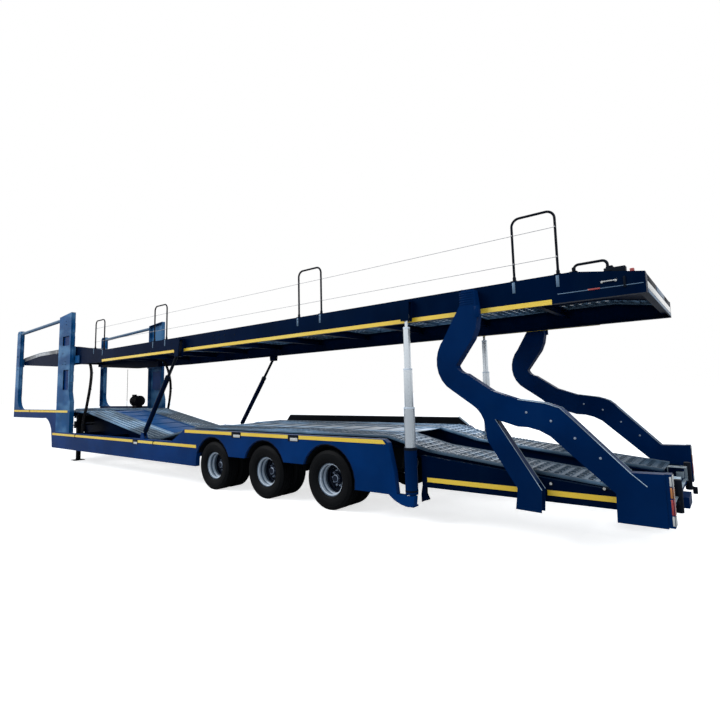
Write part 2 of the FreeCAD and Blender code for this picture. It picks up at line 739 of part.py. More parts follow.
def front_platform():
    """The fixed platform between the posts, carried by their carriages."""
    outline = [(PLATFORM_START, PLATFORM_NOSE), (PLATFORM_START, PLATFORM_TOP - 120),
               (250, PLATFORM_TOP - 75), (1450, PLATFORM_TOP), (PLATFORM_END, PLATFORM_TOP),
               (PLATFORM_END, PLATFORM_BOTTOM - 10), (2630, PLATFORM_BOTTOM)]
    half = post_inside() - CARRIAGE
    beam = pan(outline, half, PLATFORM_LIP)
    inner = half - PLATE
    drop = 12.0
    line = [(260, PLATFORM_TOP - 75 - drop), (1450, PLATFORM_TOP - drop),
            (PLATFORM_END, PLATFORM_TOP - drop)]
    whole = beam.fuse(mirrored(beam))
    for station in (300, 1500, 2700, PLATFORM_END - PLATE - CHANNEL):
        top = height_at(line, station) - TRACK_DEPTH
        whole = whole.fuse(channel(station, top - 90, top, -inner, inner))
    hose_board = box(PLATFORM_END - 64, PLATFORM_END - PLATE, -inner, inner,
                     DECK_PIVOT_Z + 40, DECK_PIVOT_Z + 130)
    whole = whole.fuse(hose_board)
    for piece in track_pair(line, False):
        whole = whole.fuse(piece)
    save("front_platform", whole)


# ---------------------------------------------------------------- upper deck

def deck_top():
    """(station, height) of the deck beams' upper edge."""
    return [(DECK_START, DECK_FRONT_TOP), (DECK_TAPER_END, DECK_TOP),
            (DECK_END - DECK_RISE_LENGTH, DECK_TOP + DECK_RISE), (DECK_END, DECK_END_TOP)]


def deck_beam_outline():
    return ([(DECK_START, DECK_BOTTOM + 17)] + deck_top()
            + [(DECK_END, DECK_BOTTOM + 15), (DECK_TAPER_END, DECK_BOTTOM)])


def clevis(cheek, axis_y, station, z):
    """Two cheeks on the deck's side, bridged at the top, for a rod's eye between them."""
    inner_end = axis_y - EYE_HALF - EYE_GAP
    outer_start = axis_y + EYE_HALF + EYE_GAP
    outer_end = min(outer_start + CHEEK, WIDTH / 2 - 2)
    left = min(corner[0] for corner in cheek)
    right = max(corner[0] for corner in cheek)
    top = cheek[0][1]
    bridge = box(left, right, DECK_HALF, outer_end, top - 24, top)
    inner = slab(cheek, DECK_HALF, inner_end)
    return inner.fuse(slab(cheek, outer_start, outer_end)).fuse(bridge)


def strut_bracket():
    """Clevis for the front cylinder's rod eye."""
    top = DECK_TOP - 40
    cheek = [(STRUT_EYE - 90, top), (STRUT_EYE + 110, top), (STRUT_EYE + 60, STRUT_EYE_Z - 70),
             (STRUT_EYE - 60, STRUT_EYE_Z - 70)]
    return clevis(cheek, STRUT_Y, STRUT_EYE, STRUT_EYE_Z)


def ram_bracket():
    """Clevis for the telescopic cylinder's head."""
    cheek = [(RAM_STATION - 70, DECK_TOP), (RAM_STATION + 70, DECK_TOP),
             (RAM_STATION + 55, RAM_EYE_Z - 60), (RAM_STATION - 55, RAM_EYE_Z - 60)]
    return clevis(cheek, RAM_Y, RAM_STATION, RAM_EYE_Z)


def deck_beams():
    beam = pan(deck_beam_outline(), DECK_HALF, DECK_LIP)
    bore = flat_bar(point(DECK_PIVOT, DECK_HALF + 5, DECK_PIVOT_Z),
                    point(DECK_PIVOT, DECK_HALF - DECK_LIP - 5, DECK_PIVOT_Z),
                    PIVOT_RADIUS + PIVOT_GAP)
    save_pair("deck_beam", beam.cut(bore).fuse(strut_bracket()).fuse(ram_bracket()))


def deck_line():
    """The upper face of the deck's wheel tracks, a little below the beams' edges."""
    line = lowered(deck_top(), 14)
    return [(DECK_START + 60, height_at(line, DECK_START + 60))] + line[1:3] + [
        (DECK_END - 20, height_at(line, DECK_END - 20))]


def deck_tracks():
    save("deck_tracks", *track_pair(deck_line(), False, DECK_HALF - PLATE - 40))


def deck_cross_members():
    half = DECK_HALF - PLATE
    line = lowered(deck_line(), TRACK_DEPTH)
    pieces = []
    for station in spread(DECK_START + 120, DECK_END - 90, DECK_MEMBERS):
        top = min(height_at(line, station - PLATE / 2), height_at(line, station + CHANNEL))
        pieces.append(channel(station, top - DECK_MEMBER_DEPTH, top, -half, half))
    save("deck_cross_members", *pieces)


def deck_end_board():
    half = DECK_HALF - DECK_LIP
    save("deck_end_board", box(DECK_END - 12, DECK_END, -half, half, DECK_BOTTOM + 23,
                               DECK_END_TOP - 8))


def handrails():
    """Loops of tube that stand on the deck's left edge."""
    y = DECK_HALF - DECK_LIP / 2
    pieces = []
    for station, width, height, bend in LOOPS:
        end = station + width
        top = DECK_TOP + height
        path = [point(station, y, height_at(deck_top(), station) - 30), point(station, y, top),
                point(end, y, top), point(end, y, height_at(deck_top(), end) - 30)]
        loop = flat_tube(rounded(path, 2, bend), LOOP_TUBE, 6)
        foot = slab(lowered(deck_top(), 100) + deck_top()[::-1], y - 2 * LOOP_TUBE, y + 2 * LOOP_TUBE)
        pieces.append(loop.cut(foot))
    save("handrails", *pieces)


# ---------------------------------------------------------------- cylinders

def across(place, half, radius, round_bar=False):
    """A bar across the trailer about a place."""
    reach = Vector(0, half, 0)
    if round_bar:
        return rod(place - reach, place + reach, radius)
    return flat_bar(place - reach, place + reach, radius)


def struts():
    """Front deck cylinders: a barrel pinned to the frame and a rod pinned to the deck."""
    foot = point(STRUT_FOOT, STRUT_Y, STRUT_FOOT_Z)
    eye = point(STRUT_EYE, STRUT_Y, STRUT_EYE_Z)
    length = (eye - foot).Length
    along = (eye - foot).normalize()
    mouth = foot + along * STRUT_BARREL_LENGTH
    barrel = flat_bar(foot + along * 85, mouth, STRUT_BARREL_RADIUS)
    barrel = barrel.fuse(across(foot, LUG_HALF, LUG_RADIUS))
    barrel = barrel.fuse(flat_bar(foot + along * 20, foot + along * 90, PIN_RADIUS + 5))
    barrel = barrel.cut(across(foot, LUG_HALF + 10, PIN_RADIUS + SLIDE_GAP))
    bore = STRUT_ROD_RADIUS + SLIDE_GAP
    barrel = barrel.cut(flat_bar(foot + along * 120, mouth + along * 5, bore))
    inner_end = min(STRUT_BARREL_LENGTH - STRUT_ROD_INSIDE, length - 100)
    piston = flat_bar(foot + along * inner_end, eye - along * 30, STRUT_ROD_RADIUS)
    piston = piston.fuse(across(eye, LUG_HALF, LUG_RADIUS))
    piston = piston.fuse(across(eye, EYE_HALF, PIN_RADIUS))
    save_pair("strut_barrel", barrel)
    save_pair("strut_rod", piston)


def strut_feet():
    """Brackets on the low frame that hold the front cylinders' pins."""
    inner = LUG_HALF + LUG_GAP
    outer = inner + CHEEK
    top = STRUT_FOOT_Z + 40
    cheek = [(STRUT_FOOT - 80, LOW_TOP), (STRUT_FOOT + 80, LOW_TOP), (STRUT_FOOT + 35, top),
             (STRUT_FOOT - 35, top)]
    left = box(STRUT_FOOT - 80, STRUT_FOOT + 80, STRUT_Y - outer, STRUT_Y + outer, LOW_TOP,
               LOW_TOP + 8)
    for side in (1, -1):
        left = left.fuse(slab(cheek, STRUT_Y + side * inner, STRUT_Y + side * outer))
    left = left.fuse(across(point(STRUT_FOOT, STRUT_Y, STRUT_FOOT_Z), (inner + outer) / 2,
                            PIN_RADIUS, True))
    save("strut_feet", left, mirrored(left))


def ram_at(z):
    """A point on the left telescopic cylinder's axis."""
    return point(RAM_STATION, RAM_Y, z)


def ram_barrels():
    """Barrels of the rear telescopic cylinders, on a lug at the foot."""
    foot = ram_at(RAM_FOOT_Z)
    first_radius = RAM_STAGES[0][1]
    barrel = flat_bar(ram_at(RAM_BARREL_START), ram_at(RAM_BARREL_TOP), RAM_BARREL_RADIUS, 16)
    bore = flat_bar(ram_at(RAM_BARREL_START + RAM_END), ram_at(RAM_BARREL_TOP + 10),
                    first_radius + SLIDE_GAP, 16)
    barrel = barrel.cut(bore).fuse(across(foot, LUG_HALF, LUG_RADIUS))
    barrel = barrel.fuse(flat_bar(foot + Vector(0, 0, 20), ram_at(RAM_BARREL_START + 5), LUG_HALF - 1))
    save_pair("ram_barrel", barrel.cut(across(foot, LUG_HALF + 10, PIN_RADIUS + SLIDE_GAP)))


def ram_stages():
    """Three stages, each sliding in the one below; the last has the eye and its pin."""
    below = RAM_BARREL_TOP
    eye = ram_at(RAM_EYE_Z)
    for index, (top, radius, inside) in enumerate(RAM_STAGES):
        bottom = below - inside
        stage = flat_bar(ram_at(bottom), ram_at(top), radius, 16)
        if index + 1 < len(RAM_STAGES):
            bore = RAM_STAGES[index + 1][1] + SLIDE_GAP
            stage = stage.cut(flat_bar(ram_at(bottom + 12), ram_at(top + 10), bore, 16))
        else:
            stage = stage.fuse(flat_bar(ram_at(top - 5), ram_at(RAM_EYE_Z - 20), LUG_HALF))
            stage = stage.fuse(across(eye, LUG_HALF, LUG_RADIUS))
            stage = stage.fuse(across(eye, EYE_HALF, PIN_RADIUS))
        save_pair("ram_stage_" + str(index + 1), stage)
        below = top


# ---------------------------------------------------------------- rear columns and tail

def column_outline():
    """The S-shaped column, its leg and the tail block in one plate.

    Corners are (distance ahead of the tail, height) pairs, arcs with their passing point first.
    """
    head = DECK_TOP - 8
    corners = ((1765, head), (1910, head + 12), (1930, 2545), (2155, 2170),
               (2245, 2010, 2260, 1860), (2238, 1760, 2073, 1567), (1843, 1409),
               (1750, 1320, 1703, 1188), (1682, 1028), (1384, 560), (1412, 352), (1153, 343),
               (1140, 564), (1589, 1259), (1348, 1185), (1170, 1165, 1026, 1098),
               (473, 605), (479, TAIL_BLOCK_BOTTOM), (84, TAIL_BLOCK_BOTTOM),
               (84, TAIL_BLOCK_TOP), (350, TAIL_BLOCK_TOP - 6), (812, 1271),
               (920, 1375, 1059, 1422), (1331, 1463), (1609, 1558), (1903, 1756),
               (1990, 1800, 2019, 1850), (1805, 2137), (1740, 2330, 1740, 2495))
    outline = []
    for corner in corners:
        turned = [LENGTH - value if index % 2 == 0 else value for index, value in enumerate(corner)]
        outline.append(tuple(turned))
    return outline


def columns():
    """Box columns: a pan with a second plate inside, open at the foot around the beam's bracket."""
    column = pan(column_outline(), WIDTH / 2, COLUMN_DEPTH)
    inside = WIDTH / 2 - COLUMN_DEPTH
    column = column.fuse(slab(column_outline(), inside, inside + PLATE))
    foot = LENGTH - 1280
    fork = box(foot - 180, foot + 180, inside + PLATE, WIDTH / 2 - PLATE, 300, 620)
    save_pair("rear_column", column.cut(fork))


def rear_beams():
    """Side beams of the rear floor, just inside the columns."""
    outline = [(REAR_BEAM_START, 800), (REAR_BEAM_END, 560), (REAR_BEAM_END, REAR_BEAM_BOTTOM),
               (REAR_BEAM_START, REAR_BEAM_BOTTOM)]
    beam = pan(outline, REAR_BEAM_FACE, REAR_BEAM_DEPTH)
    inside = WIDTH / 2 - COLUMN_DEPTH
    for ahead in (1280, 270):
        station = LENGTH - ahead
        beam = beam.fuse(box(station - 120, station + 120, REAR_BEAM_FACE, inside,
                             REAR_BEAM_BOTTOM + 25, REAR_BEAM_BOTTOM + 125))
    tie = slab([(RAM_STATION + 90, 250), (RAM_STATION + 140, 272), (RAM_STATION + 180, 283),
                (RAM_STATION + 146, 350), (RAM_STATION + 146, REAR_BEAM_BOTTOM + 20),
                (REAR_BEAM_START, REAR_BEAM_BOTTOM + 20), (RAM_STATION + 90, 350)],
               REAR_BEAM_FACE - REAR_BEAM_DEPTH, REAR_BEAM_FACE)
    save_pair("rear_beam", beam.fuse(tie))


def tail_sill():
    """The rear sill with the tracks' end plates and a box under its middle."""
    half = REAR_BEAM_FACE - PLATE
    sill = box(REAR_BEAM_END - 110, REAR_BEAM_END - PLATE, -half, half, SILL_BOTTOM + 20, SILL_TOP)
    low_box = box(REAR_BEAM_END - 440, LENGTH, -170, 170, SILL_BOTTOM - 110, SILL_BOTTOM)
    hanger = box(REAR_BEAM_END - 110, REAR_BEAM_END - PLATE, -120, 120, SILL_BOTTOM, SILL_BOTTOM + 20)
    sill = sill.fuse(low_box).fuse(hanger)
    edge = WIDTH / 2 - TRACK_INSET - TRACK_WIDTH
    for side in (1, -1):
        plate = slab([(FLOOR_END + 30, SILL_TOP), (REAR_BEAM_END - PLATE, SILL_TOP),
                      (REAR_BEAM_END - PLATE, SILL_TOP + 110), (FLOOR_END + 60, SILL_TOP + 140)],
                     side * edge, side * (edge + PLATE))
        sill = sill.fuse(plate)
    save("tail_sill", sill)


def tail_lamps():
    """Lamp boards on the rear faces of the tail blocks."""
    half = WIDTH / 2
    left = box(TAIL_BLOCK_END, TAIL_BLOCK_END + LAMP_DEPTH, half - COLUMN_DEPTH + 4, half - 4,
               TAIL_BLOCK_BOTTOM + 10, TAIL_BLOCK_TOP + 4)
    save("tail_lamps", left, mirrored(left))


# ---------------------------------------------------------------- front end and trim

def coupler():
    """Rubbing plate with the kingpin: collar, neck and lower flange, as the standard pin has."""
    coupling = box(500, 1700, -480, 480, NECK_BOTTOM - 4, NECK_BOTTOM - 4 + KINGPIN_PLATE)
    low = NECK_BOTTOM - 4
    pin = ((36.5, 35.0, flat_bar), (25.4, 36.0, flat_bar), (35.7, 13.0, rod))
    for radius, height, bar in pin:
        coupling = coupling.fuse(bar(point(KINGPIN_STATION, 0, low),
                                     point(KINGPIN_STATION, 0, low - height), radius))
        low -= height
    save("coupler", coupling)


def landing_legs():
    half = LEG_SIZE / 2
    wall = 12.0
    legs = flat_bar(point(LEG_STATION, -LEG_OFFSET, LEG_SHAFT_Z),
                    point(LEG_STATION, LEG_OFFSET, LEG_SHAFT_Z), LEG_SHAFT_RADIUS, 6)
    for side in (1, -1):
        y = side * LEG_OFFSET
        outer = box(LEG_STATION - half, LEG_STATION + half, y - half, y + half, LEG_JOIN,
                    NECK_FLOOR - 82)
        inner = box(LEG_STATION - half + wall, LEG_STATION + half - wall, y - half + wall,
                    y + half - wall, FOOT_PLATE, LEG_JOIN)
        foot = box(LEG_STATION - 130, LEG_STATION + 130, y - 120, y + 120, 0, FOOT_PLATE)
        bracket = box(LEG_STATION - 75, LEG_STATION + 75, side * (BEAM_OFFSET + BEAM_WEB / 2), y,
                      LEG_SHAFT_Z + 60, LEG_SHAFT_Z + 240)
        legs = legs.fuse(outer).fuse(inner).fuse(foot).fuse(bracket)
    save("landing_legs", legs)


def hydraulic_unit():
    """The pump's round motor on its foot, inside the right lift post."""
    y = 250 - WIDTH / 2
    station = LIFT_POST_START - 300
    axis = NECK_TOP + 160
    drum = flat_bar(point(station + 170, y, axis), point(station - 170, y, axis), 150, 16)
    foot = box(station - 120, station + 120, y - 90, y + 90, NECK_FLOOR, axis - 120)
    save("hydraulic_unit", drum.fuse(foot))


def strip_block(station_a, station_b, face, z):
    """One reflective strip on the left."""
    return box(station_a, station_b, face, face + STRIPE_DEPTH, z - STRIPE_HALF, z + STRIPE_HALF)


def stripes():
    """Reflective strips along the frame and along the upper deck."""
    half = WIDTH / 2
    leg = LENGTH - 1280
    runs = (                 # station a, station b, face, height
        (20, LIFT_POST_END - 20, half, NECK_TOP - 40),
        (LOW_START + 20, axle_stations()[0] - ARCH_RADIUS + 10, half, LOW_TOP - 53),
        (HUMP_TOP_START + 10, HUMP_END - 190, half, HUMP_TOP - 32),
        (REAR_BEAM_START + 70, leg - 140, REAR_BEAM_FACE, REAR_BEAM_BOTTOM + 90),
        (leg + 150, TAIL_BLOCK_START - 11, REAR_BEAM_FACE, REAR_BEAM_BOTTOM + 90))
    pieces = []
    for run in runs:
        left = strip_block(*run)
        pieces += [left, mirrored(left)]
    save("side_stripes", *pieces)
    left = strip_block(DECK_TAPER_END - 60, DECK_END - 850, DECK_HALF, DECK_BOTTOM + 34)
    left = left.cut(strut_bracket().fuse(ram_bracket()))
    save("deck_stripes", left, mirrored(left))


def hoses():
    """Hose bundles from the low frame up to the platform, bowed to the rear."""
    foot = WIDTH / 2 - 175
    head = WIDTH / 2 - 250
    board = DECK_PIVOT_Z + 85
    route = ((4330, foot, LOW_TOP - 15), (4330, foot, 1000), (4470, foot - 5, 1300),
             (4620, foot - 25, 1850), (4560, head, 2280), (4330, head, 2560),
             (4100, head, board), (PLATFORM_END - PLATE, head, board))
    left = flat_tube(rounded([point(*place) for place in route], 1), HOSE_RADIUS, 6)
    save("hoses", left, mirrored(left))


def main():
    os.makedirs("parts", exist_ok=True)
    wheels()
    axles()
    suspension()
    side_frames()
    ram_feet()
    main_beams()
    cross_members()
    floors()
    kerb_rail()
    front_posts()
    lift_posts()
    front_platform()
    deck_beams()
    deck_tracks()
    deck_cross_members()
    deck_end_board()
    handrails()
    struts()
    strut_feet()
    ram_barrels()
    ram_stages()
    columns()
    rear_beams()
    tail_sill()
    tail_lamps()
    coupler()
    landing_legs()
    hydraulic_unit()
    stripes()
    hoses()


main()
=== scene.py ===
"""Finish of a two-deck car transporter semi-trailer: paint, tyres, rims, tracks and fittings.

Metres; +X forward, +Y to the trailer's left, +Z up, with the origin on the ground in the middle.
A station is a distance behind the trailer's front face.
"""

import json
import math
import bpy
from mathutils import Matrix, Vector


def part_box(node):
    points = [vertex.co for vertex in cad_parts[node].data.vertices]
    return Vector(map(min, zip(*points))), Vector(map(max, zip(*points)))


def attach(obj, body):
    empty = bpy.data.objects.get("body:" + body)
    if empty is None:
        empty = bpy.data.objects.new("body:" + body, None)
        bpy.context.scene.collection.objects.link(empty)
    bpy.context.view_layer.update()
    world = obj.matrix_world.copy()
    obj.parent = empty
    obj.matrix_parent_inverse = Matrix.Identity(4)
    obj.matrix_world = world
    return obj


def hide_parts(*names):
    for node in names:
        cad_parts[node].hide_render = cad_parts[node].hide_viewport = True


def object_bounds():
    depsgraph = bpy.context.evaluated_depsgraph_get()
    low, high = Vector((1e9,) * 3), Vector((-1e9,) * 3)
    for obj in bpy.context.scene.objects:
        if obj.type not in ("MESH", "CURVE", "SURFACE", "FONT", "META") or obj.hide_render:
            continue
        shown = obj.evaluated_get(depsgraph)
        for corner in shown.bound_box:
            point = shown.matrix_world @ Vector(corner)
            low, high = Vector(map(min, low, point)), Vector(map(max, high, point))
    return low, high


bl_info = {
    "name": "Car Transporter Trailer Finish",
    "version": (1, 0, 0),
    "blender": (4, 5, 0),
    "location": "View3D > Sidebar > Trailer",
    "description": "Dresses the packed trailer with wheels, tracks, fittings and finishes",
    "category": "Object",
}

import bpy
from bpy.props import FloatProperty, FloatVectorProperty, IntProperty, PointerProperty
from mathutils import Matrix, Vector

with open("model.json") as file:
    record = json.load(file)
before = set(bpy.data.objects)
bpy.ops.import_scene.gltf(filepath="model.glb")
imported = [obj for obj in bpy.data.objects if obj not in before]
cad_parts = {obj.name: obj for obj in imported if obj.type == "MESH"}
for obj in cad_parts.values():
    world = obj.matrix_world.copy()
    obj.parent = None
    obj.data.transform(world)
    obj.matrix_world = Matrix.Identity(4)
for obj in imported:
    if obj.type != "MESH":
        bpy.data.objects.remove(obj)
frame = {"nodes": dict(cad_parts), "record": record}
CAD_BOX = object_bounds()
LENGTH = CAD_BOX[1].x - CAD_BOX[0].x
HALF = LENGTH / 2

# ---------------------------------------------------------------- the trailer's own lines
# Pairs are (station, height), triples (station, Y, height), unless a comment says otherwise.

# Lower floor and its tracks
FLOOR_LINE = ((4.42, 1.262), (7.40, 0.758), (7.76, 0.758), (9.08, 1.012), (13.35, 1.012),
              (13.95, 0.862), (16.24, 0.606))
NECK_LINE = ((0.06, 1.262), (4.415, 1.262))
CENTRE_HALF = 0.386                 # half the gap between the lower tracks
TRACK_SINK = 0.006                  # how far the pressed sheets lie under their line
OPENING_SHARE = 0.66                # a pressed opening's share of the pitch
RAMP_RIBS = (0.09, 0.2, 0.31, 0.42, 0.53)   # distances in from the tracks' outer edge
KNEE = (13.42, 13.95)               # stations where the tracks turn down to the rear
KNEE_TEETH = 24
KNEE_REACH = 2.2                    # run of the teeth as a share of the knee's length

# Upper deck
DECK_TOP = 2.70
DECK_LINE = ((3.975, 2.886), (5.41, 2.70), (15.75, 2.735), (16.39, 2.635))
DECK_TRACK_LINE = ((4.035, 2.864), (5.41, 2.686), (15.75, 2.721), (16.37, 2.624))
UPPER_END_LINE = ((15.02, 2.69), (15.75, 2.69), (16.37, 2.60))
UPPER_END_HALF = 0.45               # half the upper end plate's width
DECK_SIDE = 1.12                    # Y of the upper deck's side
DECK_BOLTS = ((9.70, 2.64), (9.70, 2.56), (9.86, 2.64), (9.86, 2.56), (10.02, 2.62), (10.30, 2.60))

# Hand loops, ropes and hoses
LOOPS = ((4.90, 0.46, 0.73, 0.11), (7.62, 0.46, 0.73, 0.11), (11.82, 0.46, 0.73, 0.11),
         (15.15, 0.46, 0.73, 0.11), (15.764, 0.31, 0.106, 0.06))   # station, width, height, bend
LOOP_TUBE = 0.014
ROPE_SHARES = (0.75, 0.31)          # heights of the ropes as shares of a loop's
ROPE_RADIUS = 0.0032
ROPE_SAG = 0.012
HOSE_ROUTE = ((4.33, 1.075, 0.735), (4.33, 1.075, 1.0), (4.47, 1.07, 1.3), (4.62, 1.05, 1.85),
              (4.56, 1.0, 2.28), (4.33, 1.0, 2.56), (4.10, 1.0, 2.645), (3.892, 1.0, 2.645))
HOSE_SPREAD = 0.0195                # from the bundle's middle to each hose
HOSE_RADIUS = 0.0168
HOSE_TIES = (0.95, 1.35, 1.8, 2.2)  # heights of the ties
TIE_RADIUS = 0.036
TIE_HALF = 0.012                    # half a tie's height

# Side frames
ARCH_RADIUS = 0.48
ARCH_FOOT = 22.0                    # degrees above the axle where an arch starts and ends
LAST_ARCH_FOOT = -8.0               # where the last arch ends at the rear
LINER_WIDTH = 0.53
STRIPE_HALF = 0.026                 # half a reflective strip's height
MARKERS = (                         # start, end, height of the strip that it covers
    (7.15, 7.36, 0.697), (10.40, 10.64, 0.953), (11.73, 11.95, 0.953))
CLIPS = ((1.30, 1.27), (4.37, 0.697), (7.97, 0.697))    # station, height of the strip
STRIP_TIP = ((13.431, 0.953 + STRIPE_HALF), (13.431, 0.953 - STRIPE_HALF),
             (13.475, 0.953 - STRIPE_HALF))
KERB_STRAP = ((13.25, 1.115), (13.42, 0.985), (13.43, 0.998), (13.26, 1.128))
BEAM_LAMPS = ((15.41, 0.612), (15.904, 0.612))

# Rear columns
COLUMN_START = 14.2                 # the columns pass the deck from here back
COLUMN_BOLTS = ((15.252, 1.331), (15.492, 1.248), (15.706, 1.088), (15.918, 0.913))
ARM_EDGE = ((15.169, 1.463), (15.441, 1.424), (15.58, 1.377), (15.688, 1.273), (16.15, 0.803),
            (16.28, 0.69))
LEG_EDGE = ((14.911, 1.259), (15.36, 0.564))
HEAD_RIBS = (2.53, 0.026, 6)        # lowest height, pitch and count of a column head's ribs

# Posts, front platform and its cords
POST_BOLTS = ((3.567, 3.554), (3.576, 3.468), (3.441, 2.729), (3.599, 2.522), (3.468, 2.46),
              (3.606, 2.452), (0.09, 3.56), (0.18, 3.56), (0.09, 2.86), (0.18, 2.86), (0.09, 2.48),
              (0.18, 2.48))
POST_COVERS = ((3.30, 1.80, 2.32), (3.20, 2.90, 3.20))      # front edge, lower and upper height
POST_COVER_END = 3.83
POST_RAIL = ((0.30, 3.5416), (3.13, 3.625))
POST_RAIL_RADIUS = 0.0435
RACKS = ((0.278, 2.0, 3.46), (3.888, 2.05, 3.44))   # station, lowest and highest catch
RACK_PITCH = 0.055
PLATFORM_BAND = ((0.30, 2.71), (1.45, 2.80), (3.13, 2.80), (3.13, 2.882), (1.45, 2.882),
                 (0.30, 2.812))
PLATFORM_EDGE = ((0.27, 2.818), (1.45, 2.89), (3.14, 2.89))
PLATFORM_STRIPS = (                 # station, lower and upper height
    (0.192, 2.71, 2.80), (1.453, 2.79, 2.88), (2.63, 2.774, 2.88))
GUIDE_ROPE = (2.05, -1.08, 1.262, 2.45)     # station, Y, lower and upper height
CABLE_ROUTE = ((4.03, 1.0, 0.95), (4.05, 0.99, 0.86), (4.12, 0.985, 0.80), (4.22, 0.99, 0.83),
               (4.28, 1.0, 0.97), (4.27, 1.03, 1.15))
CABLE_RADIUS = 0.006

# Cylinders
STRUT_FOOT = (7.48, 0.83)
STRUT_EYE = (8.68, 2.40)
STRUT_Y = 1.188
STRUT_BARREL = 1.43                 # length of the barrel
RAM_STATION = 13.79
RAM_Y = 1.172
RAM_BARREL = (0.345, 0.898, 0.076)  # heights of the barrel's two ends, and its radius
RAM_STAGES = ((1.383, 0.066), (1.853, 0.054), (2.365, 0.042))   # top height and radius

# Tail
LAMP_WIDTH = 0.11
REAR_LENSES = (("clear_lens", 0.70, 0.80), ("amber_lens", 0.60, 0.69), ("red_lens", 0.46, 0.59),
               ("clear_lens", 0.37, 0.45))  # finish, lower and upper height
SIDE_LENSES = (("clear_lens", 0.71, 0.79), ("amber_lens", 0.61, 0.70), ("red_lens", 0.47, 0.60),
               ("clear_lens", 0.38, 0.46))
FLAP_Y = 0.38                       # Y of the end plates
LATCH_Y = 0.62
STALK_Y = -1.16

# Underneath
LEG_STATION = 3.33
LEG_Y = 0.76
CRANK_HEIGHT = 0.9
CHAMBER_Y = 0.27                    # Y of the brake chambers
SPRING_SIDES = (0.392, 0.468)       # Y of a leaf spring's two sides
CLAMP_HALF = 0.05                   # half the gap between a spring's two clamps

# Wheels, and the bends of pipes
RING_STEPS = 60                     # faces round a rim
RIM_WALL = 0.006
HOLE_RING = (0.14, 0.17)            # inner and outer radius of a rim's hand holes
NUT_RING, NUT_COUNT = 0.104, 10
SCREW_RING, SCREW_COUNT = 0.054, 6
BEND_STEPS = 8                      # faces along a pipe's bend


# ---------------------------------------------------------------- sizes a user would change

class StageSettings(bpy.types.PropertyGroup):
    heading: FloatProperty(name="Heading", description="Camera's turn about the vertical",
                           default=math.radians(217.42), subtype="ANGLE")
    pitch: FloatProperty(name="Pitch", description="Camera's tilt above the horizon",
                         default=math.radians(5.865), subtype="ANGLE")
    roll: FloatProperty(name="Roll", description="Camera's turn about its own axis",
                        default=math.radians(-1.4445), subtype="ANGLE")
    place: FloatVectorProperty(name="Camera place", description="Where the camera stands",
                               default=(-8.694, 6.123, 1.588), subtype="TRANSLATION", unit="LENGTH")
    lens: FloatProperty(name="Lens", description="Focal length in millimetres", default=23.707)
    shift_x: FloatProperty(name="Shift X", description="Sideways shift of the lens",
                           default=-0.0087)
    shift_y: FloatProperty(name="Shift Y", description="Upward shift of the lens",
                           default=-0.0244)
    floor_size: FloatProperty(name="Floor size", description="Side of the floor", default=400.0,
                              unit="LENGTH")


class PaintSettings(bpy.types.PropertyGroup):
    blue: FloatVectorProperty(name="Blue paint", description="Colour of the frame and decks",
                              default=(0.0004, 0.026, 0.125), subtype="COLOR")
    dark: FloatVectorProperty(name="Dark paint", description="Colour of axles and legs",
                              default=(0.006, 0.007, 0.009), subtype="COLOR")
    yellow: FloatVectorProperty(name="Reflective strip", description="Colour of the side strips",
                                default=(0.92, 0.6, 0.02), subtype="COLOR")


class WheelSettings(bpy.types.PropertyGroup):
    tyre_width: FloatProperty(name="Tyre width", description="Across the sidewalls",
                              default=0.235, unit="LENGTH")
    twin_spacing: FloatProperty(name="Twin spacing", description="Between a pair's middle planes",
                                default=0.28, unit="LENGTH")
    rim_radius: FloatProperty(name="Rim radius", description="Where the tyre's bead sits",
                              default=0.222, unit="LENGTH")
    lip_radius: FloatProperty(name="Lip radius", description="Outer radius of the rim's lip",
                              default=0.243, unit="LENGTH")
    rim_width: FloatProperty(name="Rim width", description="Between a rim's two lips",
                             default=0.172, unit="LENGTH")
    groove: FloatProperty(name="Groove depth", description="Depth of the tread's grooves",
                          default=0.009, unit="LENGTH")
    tread_pitches: IntProperty(name="Tread pitches", description="Pockets round a shoulder rib",
                               default=44)
    hand_holes: IntProperty(name="Hand holes", description="Holes round a rim's disc", default=10)


class TrackSettings(bpy.types.PropertyGroup):
    track_width: FloatProperty(name="Track width", description="Across one wheel track",
                               default=0.62, unit="LENGTH")
    track_edge: FloatProperty(name="Edge", description="Width of a track's folded edge",
                              default=0.028, unit="LENGTH")
    track_depth: FloatProperty(name="Depth", description="Depth of the folded edges",
                               default=0.026, unit="LENGTH")
    press_pitch: FloatProperty(name="Pitch", description="Between the pressed openings",
                               default=0.112, unit="LENGTH")
    press_height: FloatProperty(name="Height", description="How far the openings stand up",
                                default=0.006, unit="LENGTH")
    strap_pitch: FloatProperty(name="Strap pitch", description="Between the crossing straps",
                               default=0.62, unit="LENGTH")


SETTINGS = (("trailer_stage", StageSettings), ("trailer_paint", PaintSettings),
            ("trailer_wheel", WheelSettings), ("trailer_track", TrackSettings))


def settings(name):
    return getattr(bpy.context.scene, "trailer_" + name)


# ---------------------------------------------------------------- shader maths

